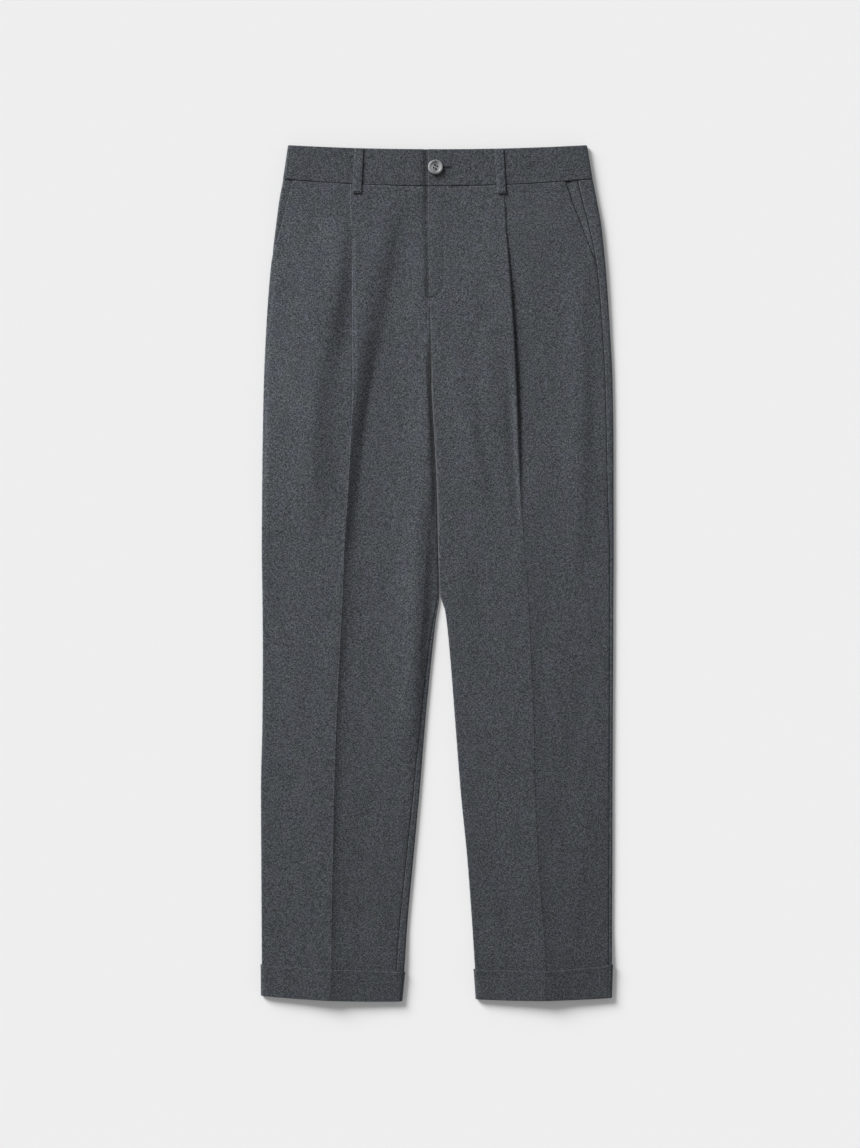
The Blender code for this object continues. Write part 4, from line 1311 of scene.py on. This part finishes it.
def cut_keyhole(band):
    """Cuts the buttonhole's slit and its round eye right through the waistband."""
    eye = drill(EYE_RADIUS, EYE_SIDES, CUT_DEPTH, (BUTTON_X, button_y(), BAND_LEVEL))
    bpy.ops.mesh.primitive_cube_add(size=1)
    slit = bpy.context.active_object
    slit.data.transform(Matrix.Diagonal((SLIT_LENGTH, SLIT_WIDTH, CUT_DEPTH, 1.0)))
    slit.location = (BUTTON_X + SLIT_LENGTH / 2, button_y(), BAND_LEVEL)
    carve(band, (eye, slit))


def loop_section(side, share):
    """The strip's section at a share of its length: it spans the waistband with a little slack."""
    down = LOOP_TOP + (LOOP_END - LOOP_TOP) * share
    out = LOOP_TOP_OUT[side] + (LOOP_END_OUT[side] - LOOP_TOP_OUT[side]) * share
    over_band = band_top(side, out)
    over_front = leg_row(side, max(down, BAND_DEPTH))["crest"] + WALL / 2
    landed = smooth((down - BAND_DEPTH - LOOP_LANDING) / LOOP_LANDING_RUN)
    slack = LOOP_SLACK * math.sin(math.pi * share) ** 0.5
    level = over_band + (over_front - over_band) * landed + SEAM_GAP + LOOP_WALL / 2 + slack
    across = shares(LOOP_ACROSS, ends=0.5) - 0.5
    crown = 2 * LOOP_CROWN * (1 - (2 * across) ** 2)
    return placed(side, pairs(out + LOOP_WIDTH * across, level + crown), down)


def loop_relief(grid, levels):
    """Two shallow channels, where the strip's edges are stitched."""
    return -LOOP_CHANNEL * np.exp(-(((edge_distance(grid, 1) - LOOP_CHANNEL_IN) / LOOP_CHANNEL_WIDTH) ** 2))


def add_belt_loops(cloth):
    """Strips from the waistband's top edge to below its seam."""
    steps = shares(LOOP_STEPS, ends=0.4)
    levels = LOOP_TOP + (LOOP_END - LOOP_TOP) * steps
    for side in SIDES:
        sections = [loop_section(side, share) for share in steps]
        add_wall("belt_loop", side, sections, levels, cloth, loop_relief, LOOP_WALL)


# Sewing

def on_surface(piece, spots):
    """Spots on a piece's upper face: each x, y and direction gives a middle, a direction and a normal."""
    mesh = piece.data
    tree = BVHTree.FromPolygons([v.co for v in mesh.vertices], [p.vertices for p in mesh.polygons])
    places = []
    for x, y, along in spots:
        hit, normal, _, _ = tree.ray_cast(Vector((x, y, RAY_START)), Vector((0, 0, -1)))
        if hit is not None:
            places.append((hit + normal * STITCH_SUNK, along, normal))
    return places


def add_stitches(name, places, size, finish):
    """One mesh of many short stitches: each place gives a middle, a direction and a normal."""
    length, width, height = size
    points, faces = [], []
    for middle, along, normal in places:
        start = len(points)
        across = normal.cross(along).normalized()
        for share, girth in STITCH_RINGS:
            for k in range(STITCH_SIDES):
                angle = 2 * math.pi * k / STITCH_SIDES
                point = middle + along * (share * length)
                point += across * (0.5 * width * girth * math.cos(angle))
                point += normal * (0.5 * height * girth * math.sin(angle))
                points.append(tuple(point))
        last = start + (len(STITCH_RINGS) - 1) * STITCH_SIDES
        for ring in range(start, last, STITCH_SIDES):
            for k in range(STITCH_SIDES):
                beside = ring + (k + 1) % STITCH_SIDES
                faces.append((ring + k, beside, beside + STITCH_SIDES, ring + k + STITCH_SIDES))
        faces.append(tuple(range(start, start + STITCH_SIDES))[::-1])
        faces.append(tuple(range(last, last + STITCH_SIDES)))
    mesh = bpy.data.meshes.new(name)
    mesh.from_pydata(points, [], faces)
    turn = bmesh.new()
    turn.from_mesh(mesh)
    bmesh.ops.recalc_face_normals(turn, faces=turn.faces)
    turn.to_mesh(mesh)
    turn.free()
    new_piece(name, mesh, finish)


def add_fly_stitches(front, thread):
    """The line of stitches that holds the fly's inner edge."""
    path = np.array([(x, level_y("left", x, down)) for x, down in fly_path()])
    spots = []
    for middle in np.arange(STITCH_PITCH, lengths(path)[-1] - STITCH_PITCH, STITCH_PITCH):
        here, ahead = pick(path, middle, middle + STITCH_AHEAD, (0, 1))
        spots.append((*here, Vector((*(ahead - here), 0)).normalized()))
    add_stitches("fly_stitches", on_surface(front, spots), STITCH, thread)


def add_tacks(pieces, thread):
    """Close rows of short stitches at the ends of the fly, the pocket openings and the belt loops."""

    def tack(name, piece, x, y, size):
        length, width = size
        up = Vector((0, 1, 0))
        spots = [(x + step, y, up) for step in np.arange(-length / 2, length / 2, TACK_PITCH)]
        add_stitches(name, on_surface(pieces[piece], spots), (width, *TACK_THREAD), thread)

    y = level_y("left", FLY_STITCH_END_X, FLY_STITCH_END - FLY_TACK_UP)
    tack("fly_tack", "cloth_front_left", FLY_STITCH_END_X + FLY_TACK_IN, y, FLY_TACK)
    for side in SIDES:
        row = leg_row(side, POCKET_END)
        line, edge = outer_line(row)
        end = edge + row["outseam"] - row["pocket"] - POCKET_TACK_IN
        x = SIDES[side] * pick(line, 0.0, 1.0, [end])[0][0]
        y = level_y(side, x, POCKET_END + POCKET_TACK_BELOW)
        tack("pocket_tack_" + side, "cloth_front_" + side, x, y, POCKET_TACK)
    for side in SIDES:
        x = SIDES[side] * LOOP_END_OUT[side]
        y = level_y(side, x, LOOP_END - LOOP_TACK_UP)
        tack("loop_tack_" + side, "cloth_belt_loop_" + side, x, y, LOOP_TACK)


def add_buttonhole_edge(band, thread):
    """Close stitches all round the buttonhole's slit."""
    y, end = button_y(), BUTTON_X + SLIT_LENGTH
    reach = (SLIT_WIDTH + PURL[0]) / 2
    spots = []
    for x in np.arange(BUTTON_X + EYE_RADIUS, end, PURL_PITCH):
        spots += [(x, y + way * reach, Vector((0, way, 0))) for way in (-1, 1)]
    for angle in np.linspace(-math.pi / 2, math.pi / 2, PURLS_AT_END):
        along = Vector((math.cos(angle), math.sin(angle), 0))
        spots.append((end + along.x * reach, y + along.y * reach, along))
    add_stitches("buttonhole_stitches", on_surface(band, spots), PURL, thread)


# Button

def button_y():
    return level_y("left", BUTTON_X, BUTTON_DOWN)


def button_seat():
    return band_top("left", BUTTON_X) + SEAM_GAP


def hole_ways():
    """The directions from the button's middle to its holes."""
    angles = [math.radians(BUTTON_HOLE_ANGLE + 360 * k / BUTTON_HOLES) for k in range(BUTTON_HOLES)]
    return [Vector((math.cos(angle), math.sin(angle), 0)) for angle in angles]


def add_button(finish):
    """A turned disc with a raised rim, a dished middle and four holes, on a thread shank."""
    seat = button_seat()
    under = BAND_LEVEL - BAND_DROP + BAND_WALL / 2 + SEAM_GAP
    dish = seat + BUTTON_HEIGHT - BUTTON_DISH
    profile = [(share * BUTTON_RADIUS, 0.0, dish + height * BUTTON_DISH) for share, height in BUTTON_FACE]
    profile += [(share * BUTTON_RADIUS, 0.0, seat + height * BUTTON_HEIGHT) for share, height in BUTTON_SIDE]
    profile += [(SHANK_RADIUS, 0.0, seat), (SHANK_RADIUS, 0.0, under), (0.0, 0.0, under)]
    mesh = bpy.data.meshes.new("button_disc")
    mesh.from_pydata(profile, [(i, i + 1) for i in range(len(profile) - 1)], [])
    button = new_piece("button_disc", mesh, finish)
    turn = button.modifiers.new("turned", "SCREW")
    turn.steps = turn.render_steps = BUTTON_TURN_STEPS
    turn.use_merge_vertices = True
    turn.merge_threshold = BUTTON_MERGE
    above = Vector((0, 0, seat + BUTTON_HOLE_STOP + BUTTON_HEIGHT))
    size = (BUTTON_HOLE_RADIUS, BUTTON_HOLE_SIDES, 2 * BUTTON_HEIGHT)
    carve(button, [drill(*size, BUTTON_HOLE_SPREAD * way + above) for way in hole_ways()])
    button.data.transform(Matrix.Translation((BUTTON_X, button_y(), 0)))
    button.data.set_sharp_from_angle(angle=BUTTON_SHARP)
    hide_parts("waist_button")


def add_button_threads(thread):
    """The shank's thread, which shows deep in the four holes; its nearly black colour is partly painted shade
    for those holes.
    """
    middle = Vector((BUTTON_X, button_y(), button_seat() + BUTTON_HOLE_STOP))
    places = [(middle + BUTTON_HOLE_SPREAD * way, -way, Vector((0, 0, 1))) for way in hole_ways()]
    add_stitches("button_threads", places, SHANK_THREAD, thread)


# Materials

class Shader:
    """A new material's nodes, with short ways to add and join them."""

    def __init__(self, name):
        self.material = bpy.data.materials.new(name)
        self.material.use_nodes = True
        self.tree = self.material.node_tree

    def place(self):
        """Where a point lies in the object, in metres."""
        return self.add("TexCoord").outputs["Object"]

    def put(self, node, name, value):
        """Sets an input, or joins another node's output to it."""
        socket = node.inputs[name]
        if isinstance(value, bpy.types.NodeSocket):
            self.tree.links.new(value, socket)
        else:
            socket.default_value = value

    def fill(self, node, settings, inputs):
        for name, value in settings.items():
            setattr(node, name, value)
        for name, value in inputs.items():
            self.put(node, name.replace("_", " ") if isinstance(name, str) else name, value)
        return node

    def add(self, kind, settings=None, **inputs):
        return self.fill(self.tree.nodes.new("ShaderNode" + kind), settings or {}, inputs)

    def noise(self, name, place):
        """One of the noises, as a number about 0.5."""
        stretch, detail, roughness, *shift = NOISES[name]
        shift = shift[0] if shift else (0.0, 0.0, 0.0)
        mapping = self.add("Mapping", Vector=place, Scale=stretch, Location=shift)
        made = self.add("TexNoise", Vector=mapping.outputs[0], Scale=1.0, Detail=detail, Roughness=roughness)
        return made.outputs["Fac"]

    def math(self, operation, *values):
        node = self.tree.nodes.new("ShaderNodeMath")
        return self.fill(node, {"operation": operation}, dict(enumerate(values))).outputs[0]

    def scaled(self, value, low, high):
        """A number from 0 to 1 as one from low to high, not held to that range."""
        return self.math("MULTIPLY_ADD", value, high - low, low)

    def mix(self, share, first, second, blend="MULTIPLY"):
        node = self.tree.nodes.new("ShaderNodeMix")
        settings = {"data_type": "RGBA", "blend_type": blend}
        return self.fill(node, settings, {0: share, 6: first, 7: second}).outputs[2]

    def ramp(self, value, stops):
        node = self.tree.nodes.new("ShaderNodeValToRGB")
        while len(node.color_ramp.elements) < len(stops):
            node.color_ramp.elements.new(0.5)
        for element, (place, colour) in zip(node.color_ramp.elements, stops):
            element.position = place
            element.color = (*colour, 1.0)
        self.put(node, 0, value)
        return node.outputs[0]

    def bump(self, height, distance, strength, **normal):
        return self.add("Bump", Height=height, Distance=distance, Strength=strength, **normal).outputs[0]

    def finish(self, **inputs):
        self.fill(self.tree.nodes["Principled BSDF"], {}, inputs)
        return self.material


def painted_light_falloff(shader, place):
    """Painted light falloff in the cloth's colour: a little darker towards the hems and towards +X."""
    parts = shader.add("SeparateXYZ", Vector=place)
    down = shader.math("MULTIPLY_ADD", parts.outputs[1], -1 / LENGTH, 0.5)
    slow = shader.math("MULTIPLY_ADD", down, -PAINTED_FALLOFF_DOWN_SQUARED, -PAINTED_FALLOFF_DOWN)
    painted_shade = shader.math("MULTIPLY_ADD", down, slow, 1.0)
    across = shader.math("MULTIPLY_ADD", parts.outputs[0], -PAINTED_FALLOFF_ACROSS, PAINTED_FALLOFF_TOP)
    return shader.math("MULTIPLY", painted_shade, across)


def flannel(name="wool_flannel", painted_shade=1.0):
    """Dark grey melange wool flannel: light and dark fibres, a blurred twill, faint clouds and a soft nap.
    Painted shade makes its colour darker towards the hems and towards +X, and darker all over by the given
    share for the waistband's copy.
    """
    shader = Shader(name)
    flat = shader.add("UVMap", {"uv_map": "cloth"}).outputs[0]
    place = shader.place()
    warp, weft = shader.noise("warp", flat), shader.noise("weft", flat)
    fibre, speck = shader.noise("fibre", place), shader.noise("speck", place)
    weave = shader.math("ADD", warp, weft)
    grain = shader.math("ADD", weave, shader.math("ADD", speck, fibre))
    grain = shader.math("MULTIPLY_ADD", shader.noise("mottle", place), MOTTLE, grain)
    middle = 0.5 - (2.0 + 0.5 * MOTTLE) * GRAIN_CONTRAST
    colour = shader.ramp(shader.math("MULTIPLY_ADD", grain, GRAIN_CONTRAST, middle), CLOTH_STOPS)
    cloud = shader.scaled(shader.noise("cloud", place), *CLOUD_RANGE)
    colour = shader.mix(cloud, colour, shader.mix(1.0, colour, CLOUD_COLOUR), "MIX")
    colour = shader.mix(1.0, colour, shader.ramp(shader.noise("tint", place), TINT_STOPS))
    # painted shade: the colour is multiplied by the painted light falloff, and by the waistband copy's darker
    # share
    colour = shader.mix(1.0, colour, shader.math("MULTIPLY", painted_light_falloff(shader, place), painted_shade))
    bands = {"wave_type": "BANDS", "bands_direction": "DIAGONAL"}
    lines = {"Scale": TWILL_LINES / (2 * math.pi), "Distortion": 2.2, "Detail": 1.5, "Detail_Scale": 2.0}
    twill = shader.add("TexWave", bands, Vector=flat, **lines)
    relief = shader.bump(twill.outputs["Fac"], distance=0.00005, strength=0.5)
    relief = shader.bump(weave, distance=0.00016, strength=0.6, Normal=relief)
    relief = shader.bump(fibre, distance=0.00006, strength=0.7, Normal=relief)
    return shader.finish(
        Base_Color=colour,
        Roughness=shader.scaled(speck, *CLOTH_ROUGHNESS),
        Specular_IOR_Level=0.25,
        Sheen_Weight=0.22,
        Sheen_Roughness=0.55,
        Sheen_Tint=(0.80, 0.86, 0.92, 1.0),
        Normal=relief,
    )


def sewing_thread_and_stitch_shade():
    """Matt dark grey thread with a fine twist. Its darkness is partly the thread's own colour and partly
    painted shade for the shadows along its stitched lines.
    """
    shader = Shader("sewing_thread_and_stitch_shade")
    strand = shader.noise("sewing", shader.place())
    relief = shader.bump(strand, distance=0.00006, strength=0.8)
    colour = shader.ramp(strand, SEWING_STOPS_AND_STITCH_SHADE)
    return shader.finish(Base_Color=colour, Roughness=0.75, Specular_IOR_Level=0.3, Normal=relief)


def shank_thread_and_hole_shade():
    """Nearly black thread for the button's shank: partly the thread's own colour and partly painted shade for
    the dark of the button's four holes.
    """
    shader = Shader("shank_thread_and_hole_shade")
    colour = shader.ramp(shader.noise("shank", shader.place()), SHANK_STOPS_AND_HOLE_SHADE)
    return shader.finish(Base_Color=colour, Roughness=0.8, Specular_IOR_Level=0.25)


def pearly_button():
    """Grey mother-of-pearl look: soft concentric turning, cloudy patches, a painted highlight that makes its
    left and right sides lighter, and a satin gloss.
    """
    shader = Shader("pearly_grey")
    middle = (-BUTTON_X, -button_y(), 0.0)
    centred = shader.add("Mapping", Vector=shader.place(), Location=middle).outputs[0]
    cloud = shader.noise("pearl", centred)
    parts = shader.add("SeparateXYZ", Vector=centred)
    x, y = parts.outputs[0], parts.outputs[1]
    squares = shader.math("ADD", shader.math("MULTIPLY", x, x), shader.math("MULTIPLY", y, y))
    away = shader.math("SQRT", squares)
    ring = shader.math("SINE", shader.math("MULTIPLY", away, 2 * math.pi / BUTTON_RING))
    # painted highlight: the colour grows lighter towards the button's left and right sides
    side = shader.math("ABSOLUTE", shader.math("DIVIDE", x, shader.math("ADD", away, PEARL_CENTRE)))
    value = shader.math("MULTIPLY_ADD", side, PEARL_PAINTED_HIGHLIGHT, shader.scaled(cloud, *PEARL_CLOUD))
    value = shader.math("MULTIPLY_ADD", ring, PEARL_RINGS, value)
    return shader.finish(
        Base_Color=shader.ramp(value, PEARL_STOPS),
        Roughness=shader.scaled(cloud, *PEARL_ROUGHNESS),
        Specular_IOR_Level=0.45,
        Coat_Weight=0.10,
        Coat_Roughness=0.30,
        Normal=shader.bump(ring, distance=0.00003, strength=0.5),
    )


def pale_floor():
    """A plain pale surface that glows a little, so that shadows on it are about as light as the photo's."""
    return Shader("pale_floor").finish(
        Base_Color=FLOOR_COLOUR,
        Roughness=0.9,
        Specular_IOR_Level=0.0,
        Emission_Color=WHITE,
        Emission_Strength=FLOOR_GLOW,
    )


# Floor, light and camera

def in_scene(name, data):
    made = bpy.data.objects.new(name, data)
    bpy.context.scene.collection.objects.link(made)
    return made


def add_floor():
    mesh = bpy.data.meshes.new("floor")
    half = FLOOR_SIZE / 2
    corners = [(-half, -half, 0), (half, -half, 0), (half, half, 0), (-half, half, 0)]
    mesh.from_pydata(corners, [], [(0, 1, 2, 3)])
    mesh.materials.append(pale_floor())
    floor = in_scene("floor", mesh)
    floor.location.z = -FLOOR_DROP


def add_light():
    """A wide soft light from the upper left, and a weak one from all round with pale walls low down."""
    world = bpy.data.worlds.new("studio")
    bpy.context.scene.world = world
    world.use_nodes = True
    nodes, links = world.node_tree.nodes, world.node_tree.links
    parts, fall = nodes.new("ShaderNodeSeparateXYZ"), nodes.new("ShaderNodeMapRange")
    ends = {"From Min": WALLS_FULL, "From Max": WALLS_END, "To Min": WALLS_STRENGTH, "To Max": FILL_STRENGTH}
    for name, value in ends.items():
        fall.inputs[name].default_value = value
    links.new(nodes.new("ShaderNodeTexCoord").outputs["Generated"], parts.inputs[0])
    links.new(parts.outputs[2], fall.inputs["Value"])
    links.new(fall.outputs["Result"], nodes["Background"].inputs["Strength"])
    nodes["Background"].inputs["Color"].default_value = WHITE
    lamp = bpy.data.lights.new("key", "SUN")
    lamp.energy = KEY_STRENGTH
    lamp.angle = KEY_ANGLE
    key = in_scene("key", lamp)
    level = math.cos(KEY_RISE)
    towards = Vector((KEY_FROM[0] * level, KEY_FROM[1] * level, math.sin(KEY_RISE)))
    key.rotation_mode = "QUATERNION"
    key.rotation_quaternion = towards.to_track_quat("Z", "Y")


def add_camera():
    """Straight above, with the photograph's frame at the level of the cloth."""
    lens = bpy.data.cameras.new("camera")
    lens.sensor_width = SENSOR
    lens.lens = SENSOR * CAMERA_HEIGHT / (PHOTO_HEIGHT * PIXEL)
    camera = in_scene("camera", lens)
    x = (PHOTO_WIDTH / 2 - MIDDLE_PIXEL) * PIXEL
    y = TOP_Y - (PHOTO_HEIGHT / 2 - TOP_PIXEL) * PIXEL
    camera.location = (x, y, CLOTH_LEVEL + CAMERA_HEIGHT)
    bpy.context.scene.camera = camera


def main():
    scene = bpy.context.scene
    scene.collection.children.link(GARMENT)
    scene.view_settings.view_transform = "Standard"
    add_camera()
    add_light()
    add_floor()
    cloth, thread, dark = flannel(), sewing_thread_and_stitch_shade(), shank_thread_and_hole_shade()
    add_panels(cloth)
    add_pocket_sides(cloth)
    add_turn_ups(cloth)
    # The waistband uses a darker copy of the flannel: painted shade
    add_waistband(flannel("wool_flannel_band_painted_shade", BAND_PAINTED_SHADE))
    add_belt_loops(cloth)
    pieces = bpy.data.objects
    add_fly_stitches(pieces["cloth_front_left"], thread)
    add_tacks(pieces, thread)
    add_buttonhole_edge(pieces["cloth_waistband_left"], thread)
    add_button(pearly_button())
    add_button_threads(dark)


main()
